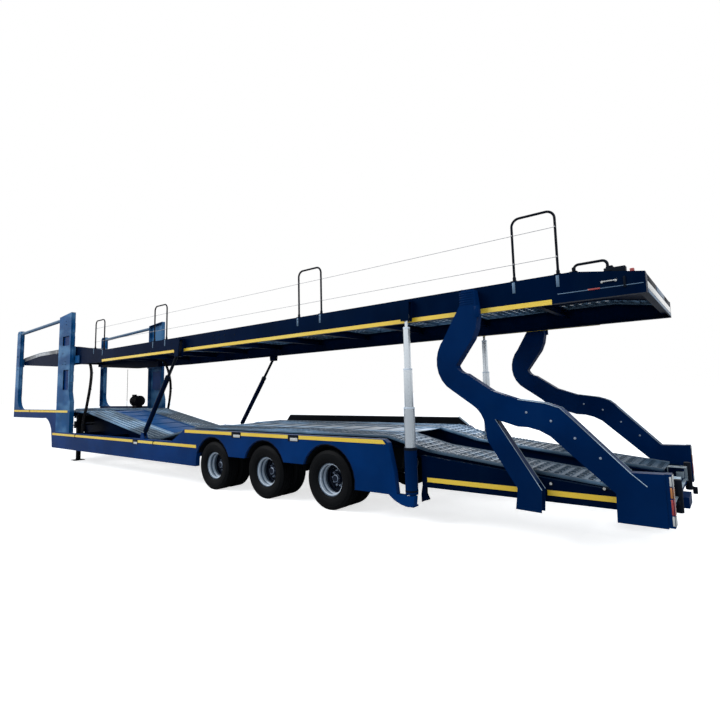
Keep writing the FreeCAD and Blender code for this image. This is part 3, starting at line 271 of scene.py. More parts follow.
class Value:
    """A number in a finish; arithmetic on it adds Math nodes."""

    def __init__(self, finish, socket):
        self.finish = finish
        self.socket = socket

    def math(self, operation, *others):
        sockets = [self] + list(others)
        node = self.finish.node("ShaderNodeMath", {"operation": operation},
                                dict(enumerate(sockets)))
        return Value(self.finish, node.outputs[0])

    def __add__(self, other):
        return self.math("ADD", other)

    __radd__ = __add__

    def __sub__(self, other):
        return self.math("SUBTRACT", other)

    def __rsub__(self, other):
        return (self * -1.0) + other

    def __mul__(self, other):
        return self.math("MULTIPLY", other)

    __rmul__ = __mul__

    def ramp(self, low, high):
        """This value carried smoothly from a range to 0 and 1, and held at its ends."""
        node = self.finish.node("ShaderNodeMapRange", {"interpolation_type": "SMOOTHSTEP"},
                                {0: self, 1: low, 2: high})
        return Value(self.finish, node.outputs[0])


class Finish:
    """A material made of nodes around one Principled shader."""

    def __init__(self, name, **constants):
        self.material = bpy.data.materials.new(name)
        self.material.use_nodes = True
        self.tree = self.material.node_tree
        self.tree.nodes.clear()
        output = self.tree.nodes.new("ShaderNodeOutputMaterial")
        self.shader = self.tree.nodes.new("ShaderNodeBsdfPrincipled")
        self.tree.links.new(self.shader.outputs[0], output.inputs[0])
        for socket, value in constants.items():
            self.shader.inputs[socket.replace("_", " ")].default_value = value
        self.place = self.node("ShaderNodeTexCoord").outputs["Object"]
        self.normal = self.node("ShaderNodeNewGeometry").outputs["Normal"]

    def node(self, kind, chosen=None, inputs=None):
        """A node of a kind, its settings first, then its sockets' values or links."""
        made = self.tree.nodes.new(kind)
        for name, value in (chosen or {}).items():
            setattr(made, name, value)
        for key, value in (inputs or {}).items():
            if isinstance(value, Value):
                value = value.socket
            if isinstance(value, bpy.types.NodeSocket):
                self.tree.links.new(value, made.inputs[key])
            else:
                made.inputs[key].default_value = value
        return made

    def link(self, socket, value):
        source = value.socket if isinstance(value, Value) else value
        self.tree.links.new(source, self.shader.inputs[socket])

    def noise(self, scale, detail=3.0, roughness=0.5, vector=None):
        made = self.node("ShaderNodeTexNoise", {}, {"Vector": vector or self.place,
                         "Scale": scale, "Detail": detail, "Roughness": roughness})
        return Value(self, made.outputs[0])

    def cells(self, scale, feature="F1", output="Distance"):
        made = self.node("ShaderNodeTexVoronoi", {"feature": feature},
                         {"Vector": self.place, "Scale": scale})
        return made.outputs[output]

    def part(self, vector, axis):
        """One coordinate of a vector; the axis is 0, 1 or 2."""
        return Value(self, self.node("ShaderNodeSeparateXYZ", {}, {0: vector}).outputs[axis])

    def stretched(self, scale):
        """The place in the object's frame, scaled along each axis."""
        return self.node("ShaderNodeMapping", {}, {"Vector": self.place, "Scale": scale}).outputs[0]

    def mix(self, factor, first, second):
        """A colour between two, each a colour or a socket."""
        def four(colour):
            if isinstance(colour, (bpy.types.NodeSocket, Value)):
                return colour
            return tuple(colour) + (1.0,)
        made = self.node("ShaderNodeMix", {"data_type": "RGBA", "clamp_factor": True},
                         {0: factor, 6: four(first), 7: four(second)})
        return made.outputs[2]

    def bump(self, height, strength, distance):
        made = self.node("ShaderNodeBump", {}, {"Height": height, "Strength": strength,
                                                "Distance": distance})
        self.tree.links.new(made.outputs[0], self.shader.inputs["Normal"])

    def settle(self):
        """How far dust settles: 1 on a face that looks up, 0 on the rest."""
        return self.part(self.normal, 2).ramp(0.35, 0.95)


def shade(colour, factor):
    return tuple(channel * factor for channel in colour)


def paint(name, colour, roughness=0.34, coat=0.02, dust=0.08, sheen=(0.12, 0.5, 1.0, 1.0),
          sky_reflection_share=0.0, gloss=0.06):
    """Gloss paint with a slight orange peel, uneven tone, dust where it settles, and lighter
    blotches of painted sky reflection where asked.
    """
    made = Finish(name, Specular_IOR_Level=gloss, Specular_Tint=sheen, Coat_Tint=sheen,
                  Coat_Roughness=0.08)
    tone = made.noise(1.3, 4.0).ramp(0.35, 0.7)
    streak = made.noise(3.0, 5.0, 0.6, made.stretched((1.0, 1.0, 0.25))).ramp(0.45, 0.75)
    dusty = made.settle() * dust * made.noise(5.0, 5.0, 0.65).ramp(0.3, 0.75) + streak * 0.02
    base = made.mix(tone, shade(colour, 0.82), shade(colour, 1.2))
    # Lighter sky-blue blotches mixed into the colour: a painted sky reflection.
    sky = made.noise(2.2, 2.0, 0.5, made.stretched((0.5, 0.5, 1.0))).ramp(0.42, 0.6) * sky_reflection_share
    base = made.mix(sky, base, (0.10, 0.24, 0.42))
    made.link("Base Color", made.mix(dusty, base, (0.05, 0.13, 0.24)))
    made.link("Roughness", dusty * 0.45 + made.noise(9.0, 3.0) * 0.1 + (roughness - 0.05))
    made.link("Coat Weight", (1.0 - dusty) * coat)
    made.bump(made.noise(240.0, 2.0), 0.05, 0.001)
    return made.material


# The default colour's blue tint is a painted sky reflection on the zinc.
def galvanised(name, colour=(0.17, 0.33, 0.52), grime=0.4):
    """Zinc with its spangle, dulled and marked by tyres, tinted blue as a painted sky reflection
    and darker in broad blotches.
    """
    made = Finish(name, Specular_IOR_Level=0.5)
    spangle = Value(made, made.node("ShaderNodeSeparateColor", {},
                    {0: made.cells(60.0, output="Color")}).outputs[0])
    worn = made.noise(4.0, 6.0, 0.65).ramp(0.45, 0.75) * grime
    base = made.mix(spangle * 0.6, shade(colour, 0.85), shade(colour, 1.15))
    # Broad dark blotches over the bluish colour.
    patch = made.noise(1.1, 3.0, 0.5, made.stretched((0.6, 1.5, 1.0))).ramp(0.38, 0.56) * 0.85
    blotched = made.mix(patch, base, shade(colour, 0.18))
    made.link("Base Color", made.mix(worn, blotched, (0.03, 0.05, 0.07)))
    made.link("Metallic", (1.0 - worn) * 0.35)
    made.link("Roughness", spangle * 0.12 + worn * 0.3 + 0.38)
    made.bump(made.noise(90.0, 3.0) + spangle * 0.2, 0.12, 0.001)
    return made.material


def rubber(name, colour=(0.003, 0.0035, 0.0045), dust=0.12):
    """Tyre or hose rubber, greyed by road dust."""
    made = Finish(name, Specular_IOR_Level=0.06)
    grey = made.noise(7.0, 6.0, 0.7).ramp(0.4, 0.8) * dust
    made.link("Base Color", made.mix(grey, colour, (0.018, 0.02, 0.023)))
    made.link("Roughness", grey * 0.3 + 0.55)
    made.bump(made.noise(180.0, 3.0, 0.6), 0.15, 0.001)
    return made.material


def bare_metal(name, colour, metallic, roughness, brushed=(1.0, 1.0, 1.0), grime=0.2, gloss=0.5):
    """Machined, chromed or silver-painted metal with fine marks along one direction."""
    made = Finish(name, Specular_IOR_Level=gloss)
    marks = made.noise(120.0, 3.0, 0.6, made.stretched(brushed))
    worn = made.noise(6.0, 5.0, 0.65).ramp(0.5, 0.8) * grime
    base = made.mix(marks * 0.5, shade(colour, 0.9), shade(colour, 1.08))
    made.link("Base Color", made.mix(worn, base, shade(colour, 0.25)))
    made.link("Metallic", (1.0 - worn) * metallic)
    made.link("Roughness", marks * 0.12 + worn * 0.3 + roughness)
    made.bump(marks, 0.05, 0.0005)
    return made.material


def strip_film(name, colour):
    """Reflective film: small cells under a clear face, with a painted paler sheen in broad
    blotches.
    """
    made = Finish(name, Specular_IOR_Level=0.6, Coat_Roughness=0.1, Coat_Weight=0.4)
    cell = Value(made, made.cells(260.0, "DISTANCE_TO_EDGE")).ramp(0.02, 0.12)
    # Paler yellow in broad blotches: a painted sheen.
    along = made.noise(0.7, 2.0).ramp(0.35, 0.65)
    base = made.mix(along, colour, (0.9, 0.68, 0.1))
    made.link("Base Color", made.mix(cell, shade(colour, 0.85), base))
    made.link("Roughness", made.noise(30.0, 2.0) * 0.15 + 0.25)
    made.bump(cell, 0.1, 0.0004)
    return made.material


def lens(name, colour):
    """Ribbed lamp plastic."""
    made = Finish(name, Specular_IOR_Level=0.7, Coat_Weight=0.6, Coat_Roughness=0.04)
    ribs = made.node("ShaderNodeTexWave", {"wave_type": "BANDS", "bands_direction": "Z"},
                     {"Vector": made.place, "Scale": 40.0}).outputs[1]
    made.link("Base Color", made.mix(Value(made, ribs) * 0.5, shade(colour, 0.6), colour))
    made.link("Roughness", made.noise(20.0) * 0.1 + 0.15)
    made.bump(Value(made, ribs), 0.3, 0.002)
    return made.material


def finishes():
    """Every finish of the trailer by its name, made once."""
    colours = settings("paint")
    blue = tuple(colours.blue)
    dark = tuple(colours.dark)
    return {
        "blue": paint("trailer_blue", blue),
        # A darker copy of the blue: painted shade on the rear columns, ram barrels, tail sill and
        # tail lamps.
        "column": paint("column_blue", shade(blue, 0.58), gloss=0.025),
        # A lighter copy of the blue, with painted sky reflection: painted light on the front posts.
        "post": paint("post_blue", (0.006, 0.065, 0.19), sky_reflection_share=0.6),
        # A much darker copy of the blue: painted shade on the deck's beams, cross members and end,
        # the main beams, rear beam, strut barrels and front platform.
        "deep": paint("deck_blue", shade(blue, 0.2), coat=0.0, dust=0.04, gloss=0.02),
        "ramp": paint("ramp_blue", (0.012, 0.09, 0.28), roughness=0.4, dust=0.2),
        "black": paint("chassis_black", dark, roughness=0.5, coat=0.0, dust=0.1,
                       sheen=(0.5, 0.55, 0.6, 1.0)),
        "zinc": galvanised("galvanised_track"),
        "plate": galvanised("folded_plate", colour=(0.5, 0.66, 0.8), grime=0.15),
        "rail": bare_metal("rail_grey", (0.1, 0.17, 0.26), 0.3, 0.35, gloss=0.3),
        "band": galvanised("band_grey", colour=(0.45, 0.47, 0.5), grime=0.2),
        # Bright edges: partly real wear, partly painted highlight.
        "edge": galvanised("worn_edge", colour=(0.3, 0.42, 0.56), grime=0.3),
        "rim": bare_metal("rim_grey", (0.16, 0.22, 0.3), 0.45, 0.3),
        "ring": bare_metal("rim_silver", (0.72, 0.82, 0.94), 0.45, 0.24),
        # Near-black disc and hub: painted shade inside the rim.
        "dish": bare_metal("rim_dish", (0.008, 0.014, 0.03), 0.4, 0.35, gloss=0.2),
        "bolt": bare_metal("zinc_bolt", (0.3, 0.36, 0.46), 0.6, 0.3),
        "tyre": rubber("tyre_rubber"),
        "hose": rubber("hose_black", colour=(0.006, 0.006, 0.007), dust=0.3),
        "chrome": bare_metal("chromed_rod", (0.7, 0.76, 0.82), 0.8, 0.14, (1.0, 1.0, 12.0), 0.05),
        "steel": bare_metal("steel_dark", (0.006, 0.009, 0.016), 0.2, 0.45, gloss=0.04),
        "loop": paint("loop_black", (0.004, 0.005, 0.009), roughness=0.35, dust=0.05,
                      sheen=(0.5, 0.6, 0.7, 1.0)),
        "rope": bare_metal("rope_wire", (0.4, 0.4, 0.42), 0.3, 0.35),
        "strip": strip_film("reflective_strip", tuple(colours.yellow)),
        "red": lens("red_lens", (0.45, 0.012, 0.01)),
        "amber": lens("amber_lens", (0.6, 0.2, 0.02)),
        "clear": lens("clear_lens", (0.75, 0.76, 0.74)),
    }


# The start of a node's name and its finish; the rest are blue
FINISH_OF_NODE = (
    ("tyres_", "tyre"), ("rims_", "rim"), ("hoses", "hose"),
    ("axles", "black"), ("suspension", "black"), ("landing_legs", "black"),
    ("hydraulic_unit", "black"), ("kerb_rail", "black"),
    ("coupler", "steel"), ("deck_tracks", "steel"), ("handrails", "steel"), ("strut_rod", "steel"),
    ("front_tracks", "zinc"), ("wheel_deck", "zinc"), ("rear_tracks", "zinc"),
    ("neck_floor", "zinc"), ("ram_stage", "chrome"),
    ("side_stripes", "strip"), ("deck_stripes", "strip"),
    # The rows from here on give darker copies of the blue, which are painted shade, except the
    # posts, which get a lighter copy, which is painted light.
    ("deck_beam", "deep"), ("deck_cross", "deep"), ("deck_end", "deep"),
    ("front_platform", "deep"), ("strut_barrel", "deep"), ("rear_beam", "deep"),
    ("main_beams", "deep"), ("cross_members", "deep"),
    ("rear_column", "column"), ("tail_lamps", "column"), ("ram_barrel", "column"),
    ("tail_sill", "column"), ("post_front", "post"), ("post_lift", "post"))


class TRAILER_OT_finishes(bpy.types.Operator):
    """Give every frame node the finish of its real piece"""
    bl_idname = "trailer.finishes"
    bl_label = "Finishes"

    def execute(self, context):
        made = finishes()
        for name, node in frame["nodes"].items():
            kinds = [kind for start, kind in FINISH_OF_NODE if name.startswith(start)]
            material = made[kinds[0] if kinds else "blue"]
            node.data.materials.clear()
            node.data.materials.append(material)
        return {"FINISHED"}


# ---------------------------------------------------------------- stage

class TRAILER_OT_stage(bpy.types.Operator):
    """Set the floor, the light and the camera"""
    bl_idname = "trailer.stage"
    bl_label = "Stage"

    def execute(self, context):
        values = settings("stage")
        floor(values.floor_size)
        world_light()
        lamps()
        camera(values)
        context.scene.view_settings.view_transform = "Standard"
        return {"FINISHED"}


def floor(size):
    """A pale floor; a camera sees it white outside the trailer's shadow."""
    deselect()
    bpy.ops.mesh.primitive_plane_add(size=size, location=(0.0, 0.0, -0.0005))
    ground = bpy.context.object
    ground.name = "floor"
    apply_place(ground)
    made = Finish("floor_pale", Roughness=0.9, Specular_IOR_Level=0.1,
                  Emission_Color=(1.0, 1.0, 1.0, 1.0))
    tone = made.mix(made.noise(0.4, 2.0) * 0.2, (0.8, 0.8, 0.8), (0.77, 0.775, 0.78))
    made.link("Base Color", tone)
    glow = made.node("ShaderNodeEmission", {}, {"Color": (1.0, 1.0, 1.0, 1.0), "Strength": 0.7})
    both = made.node("ShaderNodeAddShader", {}, {0: made.shader.outputs[0], 1: glow.outputs[0]})
    plain = made.node("ShaderNodeBsdfDiffuse", {}, {"Color": (0.42, 0.42, 0.42, 1.0)})
    seen = made.node("ShaderNodeLightPath").outputs["Is Camera Ray"]
    pick_one = made.node("ShaderNodeMixShader", {}, {0: seen, 1: plain.outputs[0],
                                                     2: both.outputs[0]})
    output = [n for n in made.tree.nodes if n.type == "OUTPUT_MATERIAL"][0]
    made.tree.links.new(pick_one.outputs[0], output.inputs[0])
    ground.data.materials.append(made.material)


def world_light():
    """White where the camera or a reflection looks, a plainer sky for everything else."""
    world = bpy.data.worlds.new("studio")
    bpy.context.scene.world = world
    world.use_nodes = True
    tree = world.node_tree
    tree.nodes.clear()

    def added(kind, inputs, **values):
        """A node with its values, and its sockets' numbers, colours or links."""
        made = tree.nodes.new(kind)
        for name, value in values.items():
            setattr(made, name, value)
        for socket, value in zip(made.inputs, inputs):
            if isinstance(value, bpy.types.NodeSocket):
                tree.links.new(value, socket)
            else:
                socket.default_value = value
        return made

    path = added("ShaderNodeLightPath", ()).outputs
    seen = added("ShaderNodeMath", (path["Is Camera Ray"], path["Is Glossy Ray"]),
                 operation="MAXIMUM")
    through = added("ShaderNodeMath", (seen.outputs[0], path["Is Transmission Ray"]),
                    operation="MAXIMUM")
    sky = added("ShaderNodeBackground", ((0.8, 0.9, 1.0, 1.0), 0.55))
    white = added("ShaderNodeBackground", ((1.0, 1.0, 1.0, 1.0), 1.0))
    mixed = added("ShaderNodeMixShader", (through.outputs[0], sky.outputs[0], white.outputs[0]))
    added("ShaderNodeOutputWorld", (mixed.outputs[0],))


def lamps():
    """A broad key over the left front, a softer one behind and a fill from the right."""
    rows = (("key", (9.0, 15.0, 14.0), 12.0, 2600.0), ("back", (-16.0, 4.0, 12.0), 10.0, 1100.0),
            ("fill", (2.0, -16.0, 10.0), 12.0, 900.0))
    for name, place, size, power in rows:
        data = bpy.data.lights.new(name, "AREA")
        data.shape = "DISK"
        data.size = size
        data.energy = power
        lamp = bpy.data.objects.new(name, data)
        bpy.context.scene.collection.objects.link(lamp)
        lamp.location = place
        aim = Vector((0.0, 0.0, 1.5)) - Vector(place)
        lamp.rotation_euler = aim.to_track_quat("-Z", "Y").to_euler()


def camera(values):
    data = bpy.data.cameras.new("camera")
    data.sensor_width = 36.0
    data.lens = values.lens
    data.shift_x = values.shift_x
    data.shift_y = values.shift_y
    data.clip_end = 1000.0
    made = bpy.data.objects.new("camera", data)
    bpy.context.scene.collection.objects.link(made)
    turn = (Matrix.Rotation(values.heading, 4, "Z")
            @ Matrix.Rotation(math.pi / 2 + values.pitch, 4, "X")
            @ Matrix.Rotation(values.roll, 4, "Z"))
    made.matrix_world = Matrix.Translation(values.place) @ turn
    bpy.context.scene.camera = made


# ---------------------------------------------------------------- modelling by hand

def deselect():
    if bpy.context.object and bpy.context.object.mode != "OBJECT":
        bpy.ops.object.mode_set(mode="OBJECT")
    bpy.ops.object.select_all(action="DESELECT")


def pick(*objects):
    deselect()
    for piece in objects:
        piece.select_set(True)
    bpy.context.view_layer.objects.active = objects[0]


def apply_place(piece):
    pick(piece)
    bpy.ops.object.transform_apply(location=True, rotation=True, scale=True)


def edit_all(piece):
    """Edit mode on one piece with all of it selected."""
    pick(piece)
    bpy.ops.object.mode_set(mode="EDIT")
    bpy.ops.mesh.select_all(action="SELECT")


def edit_none(piece, mode):
    """Edit mode on one piece with nothing selected, in a mode of vertices or faces."""
    pick(piece)
    bpy.ops.object.mode_set(mode="EDIT")
    bpy.ops.mesh.select_mode(type=mode)
    bpy.ops.mesh.select_all(action="DESELECT")


def end_edit():
    bpy.ops.object.mode_set(mode="OBJECT")


def select_faces(piece, wanted):
    """Edit mode with the faces selected whose centre and normal pass a test."""
    edit_none(piece, "FACE")
    end_edit()
    for face in piece.data.polygons:
        face.select = wanted(face.center, face.normal)
    bpy.ops.object.mode_set(mode="EDIT")


def modify(piece, kind, **values):
    """A modifier with its values, applied at once."""
    pick(piece)
    change = piece.modifiers.new(kind.lower(), kind)
    for name, value in values.items():
        setattr(change, name, value)
    bpy.ops.object.modifier_apply(modifier=change.name)


def bevel(piece, width, segments=2):
    modify(piece, "BEVEL", width=width, segments=segments, limit_method="ANGLE",
           angle_limit=math.radians(40))


def block(low, high, edge=0.0):
    """A block between two corners, its edges rounded."""
    deselect()
    low, high = Vector(low), Vector(high)
    bpy.ops.mesh.primitive_cube_add(size=1.0, location=(low + high) / 2, scale=high - low)
    made = bpy.context.object
    apply_place(made)
    if edge:
        bevel(made, edge)
    return made


def trace(points, closed=False):
    """A chain of edges drawn from point to point."""
    deselect()
    bpy.ops.mesh.primitive_plane_add(size=0.01, location=points[0])
    made = bpy.context.object
    apply_place(made)
    bpy.ops.object.mode_set(mode="EDIT")
    bpy.ops.mesh.select_mode(type="VERT")
    bpy.ops.mesh.select_all(action="SELECT")
    bpy.ops.mesh.merge(type="CENTER")
    for before, after in zip(points, points[1:]):
        step = Vector(after) - Vector(before)
        bpy.ops.mesh.extrude_region_move(TRANSFORM_OT_translate={"value": step})
    if closed:
        bpy.ops.mesh.select_all(action="SELECT")
        bpy.ops.mesh.edge_face_add()
    end_edit()
    return made


def recalculate(piece):
    """Merges doubles and turns the faces outward."""
    edit_all(piece)
    bpy.ops.mesh.remove_doubles(threshold=0.00005)
    bpy.ops.mesh.normals_make_consistent(inside=False)
    end_edit()


def plate(points, thickness, edge=0.0):
    """A flat plate: its outline filled and carried along a vector."""
    made = trace(points, closed=True)
    edit_all(made)
    bpy.ops.mesh.extrude_region_move(TRANSFORM_OT_translate={"value": Vector(thickness)})
    end_edit()
    recalculate(made)
    if edge:
        bevel(made, edge)
    return made


def turned(profile, centre, outward=1, steps=48, wall=0.0):
    """A ring about a Y axis from (radius, offset) points; outward is 1 or -1."""
    centre = Vector(centre)
    points = [centre + Vector((0.0, outward * offset, radius)) for radius, offset in profile]
    made = trace(points)
    edit_all(made)
    bpy.ops.mesh.spin(steps=steps, angle=2 * math.pi, center=centre, axis=(0.0, 1.0, 0.0))
    end_edit()
    recalculate(made)
    if wall:
        modify(made, "SOLIDIFY", thickness=wall, offset=0.0)
        recalculate(made)
    return made


def bar(start, end, radius, sides=16, edge=0.0):
    """A round bar between two points."""
    deselect()
    start, end = Vector(start), Vector(end)
    along = end - start
    bpy.ops.mesh.primitive_cylinder_add(vertices=sides, radius=radius, depth=along.length,
                                        location=(start + end) / 2,
                                        rotation=along.to_track_quat("Z", "Y").to_euler())
    made = bpy.context.object
    apply_place(made)
    if edge:
        bevel(made, edge)
    return made


def sleeve(start, end, radius, bore, steps=40, edge=0.0025):
    """A ring with a bore, from one point to another."""
    start, end = Vector(start), Vector(end)
    length = (end - start).length
    profile = ((bore, 0.0), (radius - edge, 0.0), (radius, edge), (radius, length - edge),
               (radius - edge, length), (bore, length), (bore, 0.0))
    made = turned(profile, (0.0, 0.0, 0.0), 1, steps)
    turn = (end - start).to_track_quat("Y", "Z").to_matrix().to_4x4()
    made.data.transform(Matrix.Translation(start) @ turn)
    return made


def bolt(station, y, z, outward, size=0.009):
    """A hexagon head on its washer, standing out from a face along Y."""
    x = x_at(station)
    return [bar((x, y, z), (x, y + outward * 0.002, z), size * 1.35, 16),
            bar((x, y + outward * 0.002, z), (x, y + outward * 0.008, z), size, 6, 0.001)]


def slab(station_a, station_b, y_a, y_b, z_a, z_b, edge=0.0):
    """A block between two stations, two widths and two heights."""
    return block((x_at(station_b), min(y_a, y_b), z_a), (x_at(station_a), max(y_a, y_b), z_b), edge)


def side_points(line, y, lift=0.0):
    """Points in the plane of Y from (station, height) pairs, lifted a little."""
    return [(x_at(station), y, z + lift) for station, z in line]


def tube(points, radius, bend=0.0, sides=3, order=0):
    """A pipe through points, with its corners bent, or along a smooth line of an order."""
    made = trace(points)
    if bend:
        edit_none(made, "VERT")
        end_edit()
        used = [number for line in made.data.edges for number in line.vertices]
        for vertex in made.data.vertices:
            vertex.select = used.count(vertex.index) == 2
        bpy.ops.object.mode_set(mode="EDIT")
        bpy.ops.mesh.bevel(offset=bend, segments=BEND_STEPS, affect="VERTICES")
        end_edit()
    pick(made)
    bpy.ops.object.convert(target="CURVE")
    made = bpy.context.object
    if order:
        for spline in made.data.splines:
            spline.type = "NURBS"
            spline.order_u = order
            spline.use_endpoint_u = True
    made.data.bevel_depth = radius
    made.data.bevel_resolution = sides
    made.data.use_fill_caps = True
    pick(made)
    bpy.ops.object.convert(target="MESH")
    made = bpy.context.object
    recalculate(made)
    return made


def copied(piece, matrix):
    """A copy with its own mesh, moved by a matrix."""
    made = piece.copy()
    made.data = piece.data.copy()
    bpy.context.scene.collection.objects.link(made)
    made.data.transform(matrix)
    if matrix.determinant() < 0:
        made.data.flip_normals()
    return made


def moved(x=0.0, y=0.0, z=0.0):
    return Matrix.Translation((x, y, z))


def mirror_y():
    return Matrix.Diagonal((1.0, -1.0, 1.0, 1.0))


def turn_about(centre, angle):
    """A turn about the Y axis through a centre."""
    centre = Vector(centre)
    return (Matrix.Translation(centre) @ Matrix.Rotation(angle, 4, "Y")
            @ Matrix.Translation(-centre))


def join(pieces):
    pick(*pieces)
    if len(pieces) > 1:
        bpy.ops.object.join()
    return bpy.context.object


def both_sides(pieces):
    """The pieces and their mirror images on the right."""
    return list(pieces) + [copied(piece, mirror_y()) for piece in pieces]


def finish_piece(name, pieces, body, material, replaced=(), sharp=35.0):
    """Joins what makes one piece, smooths it and gives it its body and finish."""
    made = join(pieces)
    made.name = name
    made.data.name = name
    apply_place(made)
    pick(made)
    bpy.ops.object.shade_smooth_by_angle(angle=math.radians(sharp))
    made.data.materials.clear()
    made.data.materials.append(bpy.data.materials[material])
    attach(made, body)
    if replaced:
        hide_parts(*replaced)
    return made


def x_at(station):
    """X of a station."""
    return HALF - station


def height_on(line, station):
    """Height of a broken line of (station, height) at a station."""
    for (s_a, z_a), (s_b, z_b) in zip(line, line[1:]):
        if s_a <= station <= s_b:
            return z_a + (z_b - z_a) * (station - s_a) / (s_b - s_a)
    return line[-1][1]


# ---------------------------------------------------------------- wheels

def wheel_centres():
    """(side and number, centre) of each twin wheel, from the joints it rolls on."""
    rows = []
    for joint in frame["record"]["behaviour"]["joints"]:
        if joint["name"].startswith("wheel_"):
            name = joint["child"].replace("wheel_", "")
            rows.append((name, Vector(joint["pos_m"])))
    return rows


def tyre_section(values, radius):
    """(radius, offset) points from bead to bead, with four grooves in the tread."""
    half = values.tyre_width / 2
    seat = values.rim_radius
    depth = radius - seat
    wall = ((0.0, 0.62), (0.03, 0.78), (0.10, 0.85), (0.14, 0.88), (0.15, 0.905), (0.17, 0.905),
            (0.18, 0.89), (0.34, 0.965), (0.50, 1.0), (0.64, 0.995), (0.70, 0.985),
            (0.71, 0.995), (0.73, 0.993), (0.74, 0.975), (0.86, 0.90), (0.95, 0.83), (0.985, 0.80))
    side = [(seat + depth * share, half * width) for share, width in wall]
    groove = values.groove
    ribs = []
    for middle in (0.60, 0.20):
        for offset, drop in ((0.045, 0.0), (0.03, groove), (-0.03, groove), (-0.045, 0.0)):
            ribs.append((radius - drop, half * (middle + offset)))
    upper = side + [(radius, half * 0.76)] + ribs
    return upper + [(r, -y) for r, y in reversed(upper)]


def tyre(values, centre):
    """One tyre: its section turned, then pockets pressed into the shoulder ribs."""
    made = turned(tyre_section(values, centre.z), centre, 1, values.tread_pitches * 2)
    pitch = math.pi / values.tread_pitches
    edge = centre.z - 0.0015

    def shoulder(middle, normal):
        reach = math.hypot(middle.x - centre.x, middle.z - centre.z)
        turn = math.atan2(middle.z - centre.z, middle.x - centre.x) / pitch
        wide = abs(middle.y - centre.y) > values.tyre_width * 0.31
        return reach > edge and wide and round(turn - 0.5) % 2 == 0

    select_faces(made, shoulder)
    bpy.ops.mesh.inset(thickness=0.006, use_individual=True)
    bpy.ops.mesh.extrude_region_shrink_fatten(
        TRANSFORM_OT_shrink_fatten={"value": -values.groove * 0.6})
    end_edit()
    return made


def rim(values, centre, outward):
    """One rim's barrel: lip, bead seat, step rings and well."""
    middle = values.twin_spacing / 2
    far = middle + values.rim_width / 2
    seat = values.rim_radius
    lip = values.lip_radius
    profile = ((lip - 0.003, far - 0.006), (lip, far - 0.002), (lip - 0.004, far),
               (lip - 0.009, far - 0.005), (seat + 0.004, far - 0.016), (seat - 0.002, far - 0.024),
               (seat - 0.004, far - 0.05), (seat - 0.010, far - 0.056), (seat - 0.020, far - 0.066),
               (seat - 0.021, far - 0.112), (seat - 0.014, far - 0.122), (seat - 0.012, far - 0.15),
               (seat - 0.018, far - 0.172))
    return turned(profile, centre, outward, RING_STEPS, RIM_WALL)


def step_rings(values, centre, outward):
    """The rim's painted highlights: the lip's edge and two rings pressed into the face inside it.
    """
    far = values.twin_spacing / 2 + values.rim_width / 2
    seat = values.rim_radius
    lip = values.lip_radius
    edge = ((lip - 0.010, far - 0.001), (lip - 0.006, far + 0.0015), (lip - 0.001, far + 0.001),
            (lip + 0.001, far - 0.003), (lip - 0.005, far - 0.007), (lip - 0.010, far - 0.001))
    rings = [turned(edge, centre, outward, RING_STEPS)]
    for inset, depth in ((0.019, 0.03), (0.03, 0.1)):
        radius = seat - inset
        profile = ((radius + 0.011, far - depth + 0.005), (radius + 0.007, far - depth + 0.008),
                   (radius - 0.001, far - depth + 0.006), (radius - 0.004, far - depth - 0.004),
                   (radius - 0.006, far - depth - 0.024), (radius + 0.004, far - depth - 0.028),
                   (radius + 0.012, far - depth - 0.016), (radius + 0.011, far - depth + 0.005))
        rings.append(turned(profile, centre, outward, RING_STEPS))
    return rings


def dish(values, centre, outward):
    """The disc between a rim's barrel and its hub, with its hand holes."""
    profile = ((0.192, 0.052), (0.188, 0.034), (0.184, 0.02), (0.176, 0.013), (0.134, 0.011),
               (0.126, 0.014), (0.121, 0.019), (0.086, 0.019))
    made = turned(profile, centre, outward, RING_STEPS)
    holes = values.hand_holes

    def hole(place, normal):
        reach = math.hypot(place.x - centre.x, place.z - centre.z)
        turn = math.atan2(place.z - centre.z, place.x - centre.x) / (2 * math.pi) * holes
        return HOLE_RING[0] < reach < HOLE_RING[1] and (turn % 1.0) < 0.5

    select_faces(made, hole)
    bpy.ops.mesh.inset(thickness=0.006)
    bpy.ops.mesh.delete(type="FACE")
    end_edit()
    modify(made, "SOLIDIFY", thickness=RIM_WALL, offset=0.0)
    recalculate(made)
    return made


def hub(centre, outward):
    """The hub with its flange, stepped body and cap."""
    profile = ((0.0, 0.118), (0.042, 0.118), (0.047, 0.113), (0.048, 0.094), (0.06, 0.09),
               (0.064, 0.086), (0.067, 0.045), (0.07, 0.036), (0.084, 0.033), (0.086, 0.028),
               (0.086, -0.01), (0.0, -0.01))
    return [turned(profile, centre, outward, 40)]


def wheel_nuts(centre, outward):
    """Nuts on their studs, a ring of cap screws and the cap's bright edge."""
    edge = ((0.043, 0.1185), (0.047, 0.1165), (0.0505, 0.112), (0.0505, 0.106), (0.0475, 0.106),
            (0.043, 0.1185))
    pieces = [turned(edge, centre, outward, 40)]
    nut = bar(centre + Vector((NUT_RING, outward * 0.018, 0.0)),
              centre + Vector((NUT_RING, outward * 0.044, 0.0)), 0.0165, 6, 0.002)
    stud = bar(centre + Vector((NUT_RING, outward * 0.04, 0.0)),
               centre + Vector((NUT_RING, outward * 0.06, 0.0)), 0.009, 10, 0.001)
    screw = bar(centre + Vector((SCREW_RING, outward * 0.088, 0.0)),
                centre + Vector((SCREW_RING, outward * 0.096, 0.0)), 0.006, 6)
    for count, parts in ((NUT_COUNT, (nut, stud)), (SCREW_COUNT, (screw,))):
        for index in range(count):
            for part in parts:
                pieces.append(copied(part, turn_about(centre, 2 * math.pi * index / count)))
    for part in (nut, stud, screw):
        bpy.data.objects.remove(part)
    return pieces


